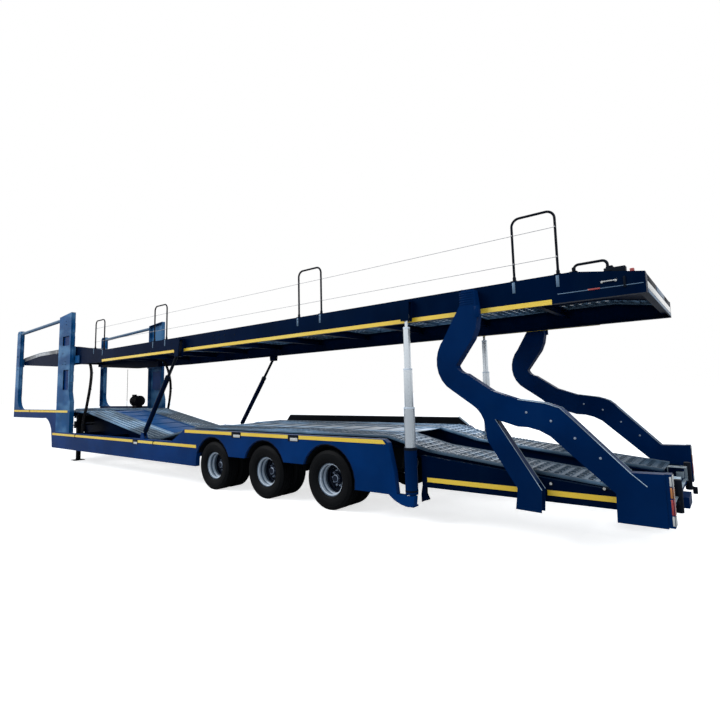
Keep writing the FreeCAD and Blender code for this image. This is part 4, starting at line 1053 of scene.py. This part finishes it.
class TRAILER_OT_wheels(bpy.types.Operator):
    """Twin tyres with ribbed treads on dished rims with hubs, studs and nuts"""
    bl_idname = "trailer.wheels"
    bl_label = "Wheels"

    def execute(self, context):
        values = settings("wheel")
        rows = wheel_centres()
        origin = Vector((0.0, 0.0, rows[0][1].z))
        rubber_ring = tyre(values, origin)
        outer_rims = {way: rim(values, origin, way) for way in (1, -1)}
        rings = {way: join(step_rings(values, origin, way)) for way in (1, -1)}
        hubs = {way: join(hub(origin, way) + [dish(values, origin, way)]) for way in (1, -1)}
        nuts = {way: join(wheel_nuts(origin, way)) for way in (1, -1)}
        for name, centre in rows:
            way = 1 if centre.y > 0 else -1
            half = values.twin_spacing / 2
            place = Matrix.Translation((centre.x, centre.y, 0.0))
            tyres = [copied(rubber_ring, place @ moved(y=side * half)) for side in (1, -1)]
            rims = [copied(outer_rims[side], place) for side in (1, -1)]
            finish_piece("tyre_pair_" + name, tyres, "wheel_" + name, "tyre_rubber",
                         ("tyres_" + name,))
            finish_piece("rim_pair_" + name, rims, "wheel_" + name, "rim_grey",
                         ("rims_" + name,), 30.0)
            # The rim's lip and step rings in bright silver: painted highlight.
            finish_piece("rim_rings_" + name, [copied(rings[side], place) for side in (1, -1)],
                         "wheel_" + name, "rim_silver", sharp=30.0)
            finish_piece("hub_" + name, [copied(hubs[way], place)], "wheel_" + name,
                         "rim_dish", sharp=30.0)
            finish_piece("wheel_nuts_" + name, [copied(nuts[way], place)], "wheel_" + name,
                         "zinc_bolt", sharp=30.0)
        patterns = [rubber_ring]
        for made in (outer_rims, rings, hubs, nuts):
            patterns += made.values()
        for pattern in patterns:
            bpy.data.objects.remove(pattern)
        return {"FINISHED"}


# ---------------------------------------------------------------- wheel tracks

def along_slope(start, end, y=0.0):
    """A matrix that lays a level panel, its X running back, on a slope between two stations."""
    (s_a, z_a), (s_b, z_b) = start, end
    back = Vector((s_a - s_b, 0.0, z_b - z_a)).normalized()
    side = Vector((0.0, -1.0, 0.0))
    up = back.cross(side)
    turn = Matrix((back, side, up)).transposed().to_4x4()
    return Matrix.Translation((x_at(s_a), y, z_a)) @ turn


def sheet_panel(length, width, pitch, rim_height, opening):
    """A pressed sheet of raised openings, level, from the origin along X."""
    rows = max(1, round(length / pitch))
    columns = max(1, round(width / pitch))
    deselect()
    bpy.ops.mesh.primitive_grid_add(x_subdivisions=rows, y_subdivisions=columns, size=1.0,
                                    location=(length / 2, 0.0, 0.0))
    made = bpy.context.object
    made.scale = (length, width, 1.0)
    apply_place(made)
    bpy.ops.object.mode_set(mode="EDIT")
    bpy.ops.mesh.select_mode(type="FACE")
    bpy.ops.mesh.select_all(action="SELECT")
    margin = (1.0 - opening) * pitch / 2
    bpy.ops.mesh.inset(thickness=margin, use_individual=True)
    bpy.ops.mesh.extrude_region_move(TRANSFORM_OT_translate={"value": (0.0, 0.0, rim_height)})
    bpy.ops.mesh.inset(thickness=pitch * 0.1, use_individual=True)
    bpy.ops.mesh.delete(type="FACE")
    end_edit()
    modify(made, "SOLIDIFY", thickness=0.003, offset=-1.0)
    return made


def track_run(start, end, values, low, high):
    """One straight run of a track: pressed sheet, folded edges and crossing straps."""
    slope = along_slope(start, end, (low + high) / 2)
    length = math.hypot(end[0] - start[0], end[1] - start[1])
    width = high - low
    fold = values.track_edge
    parts = [sheet_panel(length, width - 2 * fold, values.press_pitch, values.press_height,
                         OPENING_SHARE)]
    for side in (1, -1):
        outer = side * width / 2
        inner = outer - side * fold
        parts.append(block((0.0, min(outer, inner), -values.track_depth),
                           (length, max(outer, inner), values.press_height), 0.003))
    count = max(1, round(length / values.strap_pitch))
    for index in range(count):
        middle = length * (index + 0.5) / count
        parts.append(block((middle - 0.014, -width / 2 + fold, -values.track_depth),
                           (middle + 0.014, width / 2 - fold, values.press_height + 0.001), 0.002))
    for part in parts:
        part.data.transform(slope)
    return parts


def track_pieces(line, values, node):
    """Both tracks of a node along a broken line of (station, height)."""
    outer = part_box(node)[1].y
    inner = outer - values.track_width
    lowered = [(station, height - TRACK_SINK) for station, height in line]
    left = []
    for start, end in zip(lowered, lowered[1:]):
        left += track_run(start, end, values, inner, outer)
    return both_sides([join(left)])


def centre_plate(line, half):
    """The plain plates between two tracks, with folded ribs across them."""
    pieces = []
    for start, end in zip(line, line[1:]):
        slope = along_slope(start, end)
        length = math.hypot(end[0] - start[0], end[1] - start[1])
        parts = [block((0.0, -half, -0.012), (length, half, -0.006), 0.001)]
        count = max(1, round(length / 0.5))
        for index in range(count):
            middle = length * (index + 0.5) / count
            parts.append(block((middle - 0.02, -half, -0.006), (middle + 0.02, half, 0.004), 0.004))
        for side in (1, -1):
            edge = side * (half - 0.015)
            parts.append(block((0.0, edge - 0.015, -0.02), (length, edge + 0.015, 0.006), 0.003))
        for part in parts:
            part.data.transform(slope @ moved(z=-0.01))
        pieces += parts
    return pieces


def ramp_ribs():
    """Bright ribs along the front ramp's tracks, their paleness partly real wear and partly painted
    highlight.
    """
    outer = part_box("front_tracks")[1].y
    return both_sides([tube(side_points(FLOOR_LINE[:2], outer - aside, 0.003), 0.009, sides=2)
                       for aside in RAMP_RIBS])


def track_edges():
    """Bright lines along the tracks' outer folds, partly real wear and partly painted highlight,
    with teeth at the knee.
    """
    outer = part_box("front_tracks")[1].y
    pieces = []
    for line in (FLOOR_LINE[:4], FLOOR_LINE[4:]):
        for y in (outer - 0.006, outer - 0.612):
            pieces.append(tube(side_points(line, y, 0.002), 0.005, sides=2))
    for index in range(KNEE_TEETH):
        station = KNEE[0] + (KNEE[1] - KNEE[0]) * KNEE_REACH * index / KNEE_TEETH
        z = height_on(FLOOR_LINE, station)
        pieces.append(slab(station, station + 0.022, outer - 0.03, outer, z - 0.012, z + 0.012,
                           0.002))
    return both_sides(pieces)


class TRAILER_OT_tracks(bpy.types.Operator):
    """Pressed wheel tracks on the lower floor, with plain plates between them"""
    bl_idname = "trailer.tracks"
    bl_label = "Wheel tracks"

    def execute(self, context):
        values = settings("track")
        for name, node, line in (("front_track_sheets", "front_tracks", FLOOR_LINE[:4]),
                                 ("wheel_deck_sheets", "wheel_deck", FLOOR_LINE[3:5]),
                                 ("rear_track_sheets", "rear_tracks", FLOOR_LINE[4:]),
                                 ("neck_track_sheets", "neck_floor", NECK_LINE)):
            finish_piece(name, track_pieces(line, values, node), "chassis",
                         "galvanised_track", (node,), 30.0)
        finish_piece("deck_track_sheets", track_pieces(DECK_TRACK_LINE, values, "deck_tracks"),
                     "upper_deck", "galvanised_track", ("deck_tracks",), 30.0)
        finish_piece("front_centre_plates", centre_plate(FLOOR_LINE[:4], CENTRE_HALF), "chassis",
                     "ramp_blue", ("front_tracks",))
        finish_piece("upper_end_plate", centre_plate(UPPER_END_LINE, UPPER_END_HALF),
                     "upper_deck", "deck_blue")
        finish_piece("track_edges", track_edges(), "chassis", "worn_edge")
        finish_piece("ramp_ribs", ramp_ribs(), "chassis", "folded_plate")
        finish_piece("deck_centre_plates", centre_plate(FLOOR_LINE[3:5], CENTRE_HALF), "chassis",
                     "galvanised_track", ("wheel_deck",))
        return {"FINISHED"}


# ---------------------------------------------------------------- hand loops, ropes and hoses

def deck_edge():
    """Y of the hand loops: the middle of the left deck beam's folded edge."""
    low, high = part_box("handrails")
    return low.y / 2 + high.y / 2


class TRAILER_OT_loops(bpy.types.Operator):
    """Bent hand loops with foot plates, and the wire ropes through them"""
    bl_idname = "trailer.loops"
    bl_label = "Hand loops and ropes"

    def execute(self, context):
        y = deck_edge()
        loops = []
        for station, width, height, bend in LOOPS:
            top = DECK_TOP + height
            feet = [(place, height_on(DECK_LINE, place)) for place in (station, station + width)]
            front, rear = feet
            route = side_points((front, (front[0], top), (rear[0], top), rear), y)
            loops.append(tube(route, LOOP_TUBE, bend * 0.8))
            for place, z in feet:
                x = x_at(place)
                loops.append(block((x - 0.035, y - 0.032, z), (x + 0.035, y + 0.032, z + 0.008),
                                   0.002))
                loops.append(bar((x, y, z + 0.006), (x, y, z + 0.05), LOOP_TUBE * 1.35, 20, 0.003))
        finish_piece("hand_loops", loops, "upper_deck", "loop_black",
                     ("handrails",))
        finish_piece("hand_ropes", ropes(y), "upper_deck", "rope_wire")
        return {"FINISHED"}


def ropes(y):
    """Two wire ropes from the first loop to the fourth, with a clamp on each leg."""
    pieces = []
    first = LOOPS[0]
    last = LOOPS[3]
    for share in ROPE_SHARES:
        start = (x_at(first[0]), y, DECK_TOP + first[2] * share)
        end = (x_at(last[0] + last[1]), y, DECK_TOP + last[2] * share)
        middle = (Vector(start) + Vector(end)) / 2 - Vector((0.0, 0.0, ROPE_SAG))
        pieces.append(tube([start, tuple(middle), end], ROPE_RADIUS, sides=2, order=3))
        z = DECK_TOP + first[2] * share
        for station, width, height, bend in LOOPS[:4]:
            for x in (x_at(station), x_at(station + width)):
                pieces.append(bar((x, y - 0.02, z), (x, y + 0.02, z), 0.007, 10, 0.001))
    return pieces


class TRAILER_OT_hoses(bpy.types.Operator):
    """Bundles of hydraulic hoses with ties, from the low frame to the platform"""
    bl_idname = "trailer.hoses"
    bl_label = "Hoses"

    def execute(self, context):
        pieces = []
        for angle in (90, 210, 330):
            turn = math.radians(angle)
            aside = HOSE_SPREAD * math.cos(turn)
            ahead = HOSE_SPREAD * math.sin(turn)
            route = [(x_at(s + ahead), y + aside, z) for s, y, z in HOSE_ROUTE[:-2]]
            route += [(x_at(s), y + aside, z + ahead) for s, y, z in HOSE_ROUTE[-2:]]
            pieces.append(tube(route, HOSE_RADIUS, sides=4, order=3))
        line = tube([(x_at(s), y, z) for s, y, z in HOSE_ROUTE], TIE_RADIUS, sides=6, order=3)
        ties = []
        for z in HOSE_TIES:
            cut = copied(line, Matrix.Identity(4))
            for height, below in ((z - TIE_HALF, True), (z + TIE_HALF, False)):
                edit_all(cut)
                bpy.ops.mesh.bisect(plane_co=(0.0, 0.0, height), plane_no=(0.0, 0.0, 1.0),
                                    use_fill=True, clear_inner=below, clear_outer=not below)
                end_edit()
            ties.append(cut)
        bpy.data.objects.remove(line)
        finish_piece("hose_bundles", both_sides(pieces), "chassis", "hose_black",
                     ("hoses",))
        finish_piece("hose_ties", both_sides(ties), "chassis", "steel_dark")
        return {"FINISHED"}


# ---------------------------------------------------------------- side frames

def arc_points(centre, radius, start, end, count, y):
    """Points of an arc in the plane of Y; angles in degrees above the rear."""
    points = []
    for index in range(count + 1):
        turn = math.radians(start + (end - start) * index / count)
        points.append((centre.x - radius * math.cos(turn), y, centre.z + radius * math.sin(turn)))
    return points


class TRAILER_OT_arches(bpy.types.Operator):
    """Dark rolled edges round the wheel arches, with black liners over the tyres; their darkness is
    partly painted shade of the wheel housings
    """
    bl_idname = "trailer.arches"
    bl_label = "Wheel arches"

    def execute(self, context):
        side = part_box("side_frame_left")[1].y
        edges, liners = [], []
        last = max(-centre.x for name, centre in wheel_centres())
        for name, centre in wheel_centres():
            if centre.y < 0:
                continue
            rear = LAST_ARCH_FOOT if abs(-centre.x - last) < 0.01 else ARCH_FOOT
            front = 180 - ARCH_FOOT
            # Dark tubes round each arch's edge: painted shade of the wheel housing.
            edges.append(tube(arc_points(centre, ARCH_RADIUS + 0.004, rear, front, 40,
                                         side - 0.004), 0.006, sides=3))
            # Black liners inside the arch: partly real liners, partly painted shade of the housing.
            shell = trace(arc_points(centre, ARCH_RADIUS - 0.012, rear + 2, front - 2, 40,
                                     side - 0.02))
            edit_all(shell)
            bpy.ops.mesh.extrude_region_move(
                TRANSFORM_OT_translate={"value": (0.0, -LINER_WIDTH, 0.0)})
            end_edit()
            modify(shell, "SOLIDIFY", thickness=0.004, offset=0.0)
            recalculate(shell)
            liners.append(shell)
        finish_piece("arch_edges", both_sides(edges), "chassis", "loop_black")
        finish_piece("arch_liners", both_sides(liners), "chassis", "chassis_black")
        return {"FINISHED"}


class TRAILER_OT_sides(bpy.types.Operator):
    """Marker plates, strap clips and lamps along the side frames"""
    bl_idname = "trailer.sides"
    bl_label = "Side trim"

    def execute(self, context):
        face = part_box("side_frame_left")[1].y
        dark, pale = [], []
        for start, end, z in MARKERS:
            dark.append(slab(start, end, face + 0.0005, face + 0.006, z - 0.062, z + 0.03, 0.002))
            width = end - start
            pale.append(slab(start + width * 0.22, end - width * 0.08, face + 0.006, face + 0.008,
                             z - 0.055, z - 0.012, 0.001))
        for station, z in CLIPS:
            dark.append(slab(station - 0.03, station - 0.012, face + 0.0005, face + 0.009,
                             z - 0.05, z + STRIPE_HALF + 0.006, 0.003))
            for height in (z - 0.05, z + STRIPE_HALF - 0.008):
                dark.append(slab(station - 0.02, station + 0.03, face + 0.0005, face + 0.009,
                                 height, height + 0.014, 0.003))
        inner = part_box("rear_beam_left")[1].y - 0.027
        for station, z in BEAM_LAMPS:
            x = x_at(station)
            pale.append(bar((x, inner, z), (x, inner + 0.014, z), 0.014, 24, 0.003))
            dark.append(bar((x, inner, z), (x, inner + 0.007, z), 0.022, 24, 0.002))
        low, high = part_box("kerb_rail")
        strap = plate(side_points(KERB_STRAP, low.y - 0.004),
                      (0.0, high.y - low.y + 0.008, 0.0), 0.002)
        tip = plate(side_points(STRIP_TIP, face), (0.0, 0.003, 0.0))
        finish_piece("kerb_end", [strap], "chassis", "folded_plate")
        finish_piece("side_markers", both_sides(dark), "chassis", "loop_black")
        finish_piece("marker_plates", both_sides(pale), "chassis", "clear_lens")
        finish_piece("strip_tips", both_sides([tip]), "chassis",
                     "reflective_strip")
        return {"FINISHED"}


# ---------------------------------------------------------------- rear columns and cylinders

class TRAILER_OT_columns(bpy.types.Operator):
    """Bolts, ribbed heads, clamps and painted edge highlights of the rear columns"""
    bl_idname = "trailer.columns"
    bl_label = "Rear columns"

    def execute(self, context):
        inner, outer = (corner.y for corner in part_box("rear_column_left"))
        bolts, ribs, edges = [], [], []
        for station, z in COLUMN_BOLTS:
            bolts += bolt(station, outer, z, 1) + bolt(station, inner, z, -1)
        low, pitch, count = HEAD_RIBS
        for index in range(count):
            z = low + pitch * index
            ribs.append(slab(14.56, 14.73, outer, outer + 0.005, z, z + pitch / 2, 0.002))
        ribs.append(slab(14.735, 14.79, outer - 0.03, outer + 0.004, 2.37, 2.50, 0.004))
        # Pale beads along the arms' and legs' edges: painted highlight.
        edges.append(tube(side_points(ARM_EDGE, outer + 0.001), 0.0035, sides=2))
        edges.append(tube(side_points(ARM_EDGE[:-1], inner + 0.004), 0.004, sides=2))
        edges.append(tube(side_points(LEG_EDGE, outer - 0.004), 0.004, sides=2))
        edges.append(tube(side_points(LEG_EDGE, inner + 0.004), 0.004, sides=2))
        finish_piece("column_bolts", both_sides(bolts), "chassis", "zinc_bolt")
        finish_piece("column_heads", both_sides(ribs), "chassis", "column_blue")
        finish_piece("column_edges", both_sides(edges), "chassis", "folded_plate")
        return {"FINISHED"}


def strut_collars(way):
    """Collars, hose unions and a pipe on a strut's barrel; way is 1 left and -1 right."""
    foot = Vector((x_at(STRUT_FOOT[0]), way * STRUT_Y, STRUT_FOOT[1]))
    eye = Vector((x_at(STRUT_EYE[0]), way * STRUT_Y, STRUT_EYE[1]))
    along = (eye - foot).normalized()
    across = Vector((-along.z, 0.0, along.x))
    head = foot + along * STRUT_BARREL
    unions = (foot + along * 0.16, head - along * 0.11)
    rings = [sleeve(head - along * 0.07, head - along * 0.002, 0.051, 0.0445),
             sleeve(foot + along * 0.11, foot + along * 0.13, 0.048, 0.0445)]
    for place in unions:
        rings.append(bar(place + across * 0.04, place + across * 0.068, 0.013, 12, 0.002))
    rings.append(tube([tuple(place + across * 0.062) for place in unions], 0.006))
    return rings


def ram_collars(way):
    """Collars and a hose union on a ram's barrel."""
    x, y = x_at(RAM_STATION), way * RAM_Y
    low, high, radius = RAM_BARREL
    port = low + 0.12
    return [sleeve((x, y, high - 0.035), (x, y, high), radius + 0.0045, radius + 0.0005),
            sleeve((x, y, low + 0.03), (x, y, low + 0.05), radius + 0.003, radius + 0.0005),
            bar((x, y - way * (radius - 0.005), port), (x, y - way * (radius + 0.03), port),
                0.016, 12, 0.002)]


class TRAILER_OT_cylinders(bpy.types.Operator):
    """Seals, collars and hose unions on the deck's cylinders"""
    bl_idname = "trailer.cylinders"
    bl_label = "Cylinders"

    def execute(self, context):
        for name, way in (("left", 1), ("right", -1)):
            finish_piece("strut_collars_" + name, strut_collars(way), "strut_barrel_" + name,
                         "steel_dark")
            finish_piece("ram_collars_" + name, ram_collars(way), "ram_barrel_" + name,
                         "steel_dark")
            x, y = x_at(RAM_STATION), way * RAM_Y
            for index, (top, radius) in enumerate(RAM_STAGES):
                wiper = sleeve((x, y, top - 0.022), (x, y, top), radius + 0.0022, radius + 0.0004)
                number = "_%d_" % (index + 1)
                finish_piece("ram_wiper" + number + name, [wiper], "ram_stage" + number + name,
                             "rim_silver")
        return {"FINISHED"}


# ---------------------------------------------------------------- upper deck

def loop_feet():
    """Straps that carry the hand loops' legs on the deck's side."""
    pieces = []
    for station, width, height, bend in LOOPS[:4]:
        for place in (station, station + width):
            top = height_on(DECK_LINE, place) - 0.012
            pieces.append(slab(place - 0.016, place + 0.016, DECK_SIDE, DECK_SIDE + 0.004,
                               top - 0.12, top, 0.002))
            if place < COLUMN_START:        # welded where the columns pass close by
                pieces += bolt(place, DECK_SIDE + 0.004, top - 0.03, 1, 0.008)
                pieces += bolt(place, DECK_SIDE + 0.004, top - 0.09, 1, 0.008)
    return pieces


class TRAILER_OT_deck(bpy.types.Operator):
    """Straps, latch, lamps and end panels of the upper deck"""
    bl_idname = "trailer.deck"
    bl_label = "Upper deck"

    def execute(self, context):
        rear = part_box("deck_end_board")[0].x
        side = DECK_SIDE

        def panel(y_a, y_b, z_a, z_b, stand=0.003):
            return block((rear - stand, min(y_a, y_b), z_a), (rear, max(y_a, y_b), z_b), 0.001)

        latch = [slab(16.04, 16.23, 1.03, 1.11, 2.655, 2.72, 0.006),
                 slab(16.07, 16.12, 1.04, 1.10, 2.72, 2.742, 0.004),
                 slab(16.205, 16.225, side, side + 0.012, 2.505, 2.613, 0.003),
                 panel(0.97, 0.45, 2.568, 2.622), panel(-0.5, -1.03, 2.568, 2.622)]
        for station, z in DECK_BOLTS:
            latch += bolt(station, side, z, 1, 0.01)
        handle = tube([(x_at(16.03), side, 2.585), (x_at(16.03), side + 0.018, 2.585),
                       (x_at(16.13), side + 0.018, 2.585), (x_at(16.13), side, 2.585)], 0.006,
                      0.01, 3)
        bright = [handle, panel(1.03, -1.03, 2.486, 2.556)]
        bright += bolt(16.02, side, 2.585, 1, 0.009) + bolt(16.14, side, 2.585, 1, 0.009)
        red = [slab(16.26, 16.30, 1.04, 1.10, 2.64, 2.685, 0.006),
               slab(15.89, 16.0, side, side + 0.006, 2.52, 2.536, 0.002)]
        ledge = [slab(15.60, 16.37, side, side + 0.0025, 2.522, 2.53, 0.001),
                 panel(1.03, -1.03, 2.446, 2.478, 0.005), panel(0.32, -0.35, 2.566, 2.622)]
        finish_piece("loop_straps", loop_feet(), "upper_deck", "rail_grey")
        finish_piece("deck_latch", latch, "upper_deck", "steel_dark")
        finish_piece("deck_bright_trim", bright, "upper_deck", "clear_lens")
        finish_piece("deck_lamps", red, "upper_deck", "red_lens")
        finish_piece("deck_ledge", ledge, "upper_deck", "rail_grey")
        return {"FINISHED"}


# ---------------------------------------------------------------- tail

def tail_lenses():
    """Lenses on the rear and outer faces of the left tail lamp, listed by their finish."""
    low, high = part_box("tail_lamps")
    rear, outer = low.x, high.y
    inner = outer - LAMP_WIDTH
    lenses = {"red_lens": [], "amber_lens": [], "clear_lens": []}
    for material, z_a, z_b in REAR_LENSES:
        lenses[material].append(block((rear - 0.006, inner + 0.008, z_a),
                                      (rear, outer - 0.008, z_b), 0.003))
    for material, z_a, z_b in SIDE_LENSES:
        lenses[material].append(block((rear + 0.002, outer - 0.002, z_a),
                                      (rear + 0.018, outer + 0.002, z_b), 0.001))
    return lenses


def tail_flaps():
    """Two folded end plates with their caps, and the strap that joins them."""
    pieces = []
    for y in (-FLAP_Y, FLAP_Y):
        pieces += [slab(16.28, 16.46, y - 0.05, y - 0.045, 0.49, 0.65, 0.001),
                   slab(16.28, 16.285, y - 0.05, y + 0.09, 0.49, 0.65, 0.001),
                   slab(16.28, 16.46, y - 0.05, y + 0.09, 0.645, 0.65, 0.001),
                   slab(16.36, 16.43, y, y + 0.06, 0.53, 0.60, 0.004)]
        for x in (x_at(16.32), x_at(16.41)):
            pieces.append(bar((x, y, 0.65), (x, y, 0.656), 0.018, 20, 0.001))
    pieces.append(slab(16.42, 16.45, -1.03, 1.03, 0.506, 0.516, 0.002))
    return pieces


def tail_gear():
    """Two upright latches with their hooks, and the lamp on a stalk at the right corner."""
    pieces = []
    for y in (-LATCH_Y, LATCH_Y):
        pieces += [bar((x_at(16.45), y, 0.36), (x_at(16.45), y, 0.67), 0.036, 24, 0.006),
                   slab(16.40, 16.46, y - 0.06, y + 0.06, 0.44, 0.48, 0.004),
                   tube([(x_at(16.46), y - 0.16, 0.56), (x_at(16.47), y - 0.10, 0.48),
                         (x_at(16.46), y - 0.045, 0.56)], 0.006, 0.01)]
    stalk = side_points(((16.40, 0.37), (16.43, 0.32), (16.46, 0.29)), STALK_Y)
    pieces += [tube(stalk, 0.009, 0.02),
               slab(16.448, 16.498, STALK_Y - 0.02, STALK_Y + 0.02, 0.215, 0.30, 0.006)]
    return pieces


class TRAILER_OT_tail(bpy.types.Operator):
    """Lenses, end plates, latches and the stalk lamp at the tail"""
    bl_idname = "trailer.tail"
    bl_label = "Tail"

    def execute(self, context):
        for material, pieces in tail_lenses().items():
            finish_piece("tail_" + material, both_sides(pieces), "chassis",
                         material)
        finish_piece("tail_flaps", tail_flaps(), "chassis", "folded_plate")
        finish_piece("tail_gear", tail_gear(), "chassis", "steel_dark")
        return {"FINISHED"}


# ---------------------------------------------------------------- front

def rack_catches(face):
    """Catches up the racks of the front and the lift post."""
    pieces = []
    for station, low, high in RACKS:
        count = round((high - low) / RACK_PITCH)
        for index in range(count):
            z = low + (high - low) * index / count
            pieces.append(slab(station, station + 0.006, face - 0.07, face - 0.045, z, z + 0.026,
                               0.001))
    return pieces


def pump_fins():
    """Cooling fins, end caps and terminal box of the pump's motor."""
    low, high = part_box("hydraulic_unit")
    y = ((low + high) / 2).y
    z = high.z - 0.15
    pieces = []
    for index in range(9):
        x = low.x + 0.05 + index * 0.026
        pieces.append(sleeve((x, y, z), (x + 0.008, y, z), 0.155, 0.1505, 40, 0.001))
    pieces += [bar((low.x - 0.012, y, z), (low.x + 0.002, y, z), 0.12, 32, 0.004),
               bar((high.x - 0.002, y, z), (high.x + 0.02, y, z), 0.07, 24, 0.004),
               slab(2.78, 2.92, y + 0.05, y + 0.13, z + 0.11, z + 0.19, 0.008)]
    return pieces


class TRAILER_OT_front(bpy.types.Operator):
    """Post bolts and covers, rack catches, cables and pump fittings at the front"""
    bl_idname = "trailer.front"
    bl_label = "Front gear"

    def execute(self, context):
        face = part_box("post_lift_left")[1].y
        bolts = []
        for station, z in POST_BOLTS:
            bolts += bolt(station, face, z, 1, 0.011)
        racks = rack_catches(face)
        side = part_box("front_platform")[1].y
        strips = [slab(station, station + 0.02, side, side + 0.003, low, high, 0.001)
                  for station, low, high in PLATFORM_STRIPS]
        band = plate(side_points(PLATFORM_BAND, side), (0.0, 0.002, 0.0))
        edge = tube(side_points(PLATFORM_EDGE, side), 0.005, sides=2)
        covers = [slab(start, POST_COVER_END, face - 0.034, face - 0.030, low, high)
                  for start, low, high in POST_COVERS]
        rail = bar(*side_points(POST_RAIL, face - 0.05), POST_RAIL_RADIUS, 32)
        station, y, low, high = GUIDE_ROPE
        guide = bar((x_at(station), y, low), (x_at(station), y, high), CABLE_RADIUS, 12)
        cable = tube([(x_at(s), y, z) for s, y, z in CABLE_ROUTE], CABLE_RADIUS, order=3)
        fins = pump_fins()
        finish_piece("post_bolts", both_sides(bolts), "chassis", "steel_dark")
        finish_piece("rack_catches", both_sides(racks), "chassis", "folded_plate")
        finish_piece("platform_strips", both_sides(strips), "chassis",
                     "clear_lens")
        finish_piece("platform_edges", both_sides([edge]), "chassis", "worn_edge")
        finish_piece("platform_bands", both_sides([band]), "chassis", "band_grey")
        finish_piece("post_covers", both_sides(covers), "chassis", "trailer_blue")
        finish_piece("post_rails", both_sides([rail]), "chassis", "rail_grey")
        finish_piece("front_cables", [cable, guide], "chassis", "hose_black")
        finish_piece("pump_fins", fins, "chassis", "chassis_black")
        return {"FINISHED"}


# ---------------------------------------------------------------- underneath

def brake_chamber(station, z):
    """A brake chamber behind an axle, with its spring chamber, rod and bracket."""
    x = x_at(station)
    y = CHAMBER_Y
    return [bar((x - 0.14, y, z), (x - 0.26, y, z), 0.075, 28, 0.01),
            bar((x - 0.26, y, z), (x - 0.36, y, z), 0.062, 28, 0.012),
            bar((x - 0.14, y, z), (x - 0.04, y, z), 0.012, 12),
            slab(station - 0.06, station + 0.14, y - 0.02, y + 0.02, z - 0.05, z - 0.03, 0.003)]


def spring_clamps(station, z):
    """Two clamps that hold a leaf spring on its axle."""
    inner, outer = SPRING_SIDES
    pieces = []
    for x in (x_at(station) - CLAMP_HALF, x_at(station) + CLAMP_HALF):
        for y in SPRING_SIDES:
            pieces.append(bar((x, y, z - 0.09), (x, y, z + 0.17), 0.01, 10, 0.001))
        pieces.append(bar((x, inner, z + 0.17), (x, outer, z + 0.17), 0.01, 10))
    return pieces


def leg_crank():
    """The landing legs' gearbox, shaft and crank on the left leg."""
    x, y, z = x_at(LEG_STATION), LEG_Y, CRANK_HEIGHT
    return [bar((x, y + 0.05, z), (x, y + 0.20, z), 0.014, 16, 0.002),
            slab(LEG_STATION - 0.09, LEG_STATION + 0.09, y + 0.055, y + 0.10, z - 0.08, z + 0.1,
                 0.01),
            tube([(x, y + 0.18, z), (x, y + 0.22, z), (x, y + 0.22, z - 0.28),
                  (x, y + 0.30, z - 0.28)], 0.010, 0.02)]


class TRAILER_OT_underneath(bpy.types.Operator):
    """Brake chambers, spring clamps and the landing legs' crank"""
    bl_idname = "trailer.underneath"
    bl_label = "Underneath"

    def execute(self, context):
        centres = [centre for name, centre in wheel_centres()]
        z = centres[0].z
        chambers, clamps = [], []
        for station in sorted({round(HALF - centre.x, 4) for centre in centres}):
            chambers += brake_chamber(station, z - 0.02)
            clamps += spring_clamps(station, z)
        finish_piece("brake_chambers", both_sides(chambers), "chassis",
                     "chassis_black")
        finish_piece("spring_clamps", both_sides(clamps), "chassis", "steel_dark")
        finish_piece("leg_crank", leg_crank(), "chassis", "steel_dark")
        return {"FINISHED"}


# ---------------------------------------------------------------- panel and start

CLASSES = (StageSettings, PaintSettings, WheelSettings, TrackSettings, TRAILER_OT_finishes,
           TRAILER_OT_wheels, TRAILER_OT_tracks, TRAILER_OT_loops, TRAILER_OT_hoses,
           TRAILER_OT_arches, TRAILER_OT_sides, TRAILER_OT_columns, TRAILER_OT_cylinders,
           TRAILER_OT_deck, TRAILER_OT_tail, TRAILER_OT_front, TRAILER_OT_underneath,
           TRAILER_OT_stage)
STEPS = ("finishes", "wheels", "tracks", "loops", "hoses", "arches", "sides", "columns",
         "cylinders", "deck", "tail", "front", "underneath", "stage")


class TRAILER_PT_panel(bpy.types.Panel):
    """Lists the trailer's steps"""
    bl_idname = "TRAILER_PT_panel"
    bl_label = "Car transporter trailer"
    bl_space_type = "VIEW_3D"
    bl_region_type = "UI"
    bl_category = "Trailer"

    def draw(self, context):
        for step in STEPS:
            self.layout.operator("trailer." + step)


def register():
    for cls in CLASSES + (TRAILER_PT_panel,):
        bpy.utils.register_class(cls)
    for name, group in SETTINGS:
        setattr(bpy.types.Scene, name, PointerProperty(type=group))


def unregister():
    for name, group in SETTINGS:
        delattr(bpy.types.Scene, name)
    for cls in reversed(CLASSES + (TRAILER_PT_panel,)):
        bpy.utils.unregister_class(cls)


def main():
    register()
    for step in STEPS:
        getattr(bpy.ops.trailer, step)()


if __name__ == "__main__":
    main()
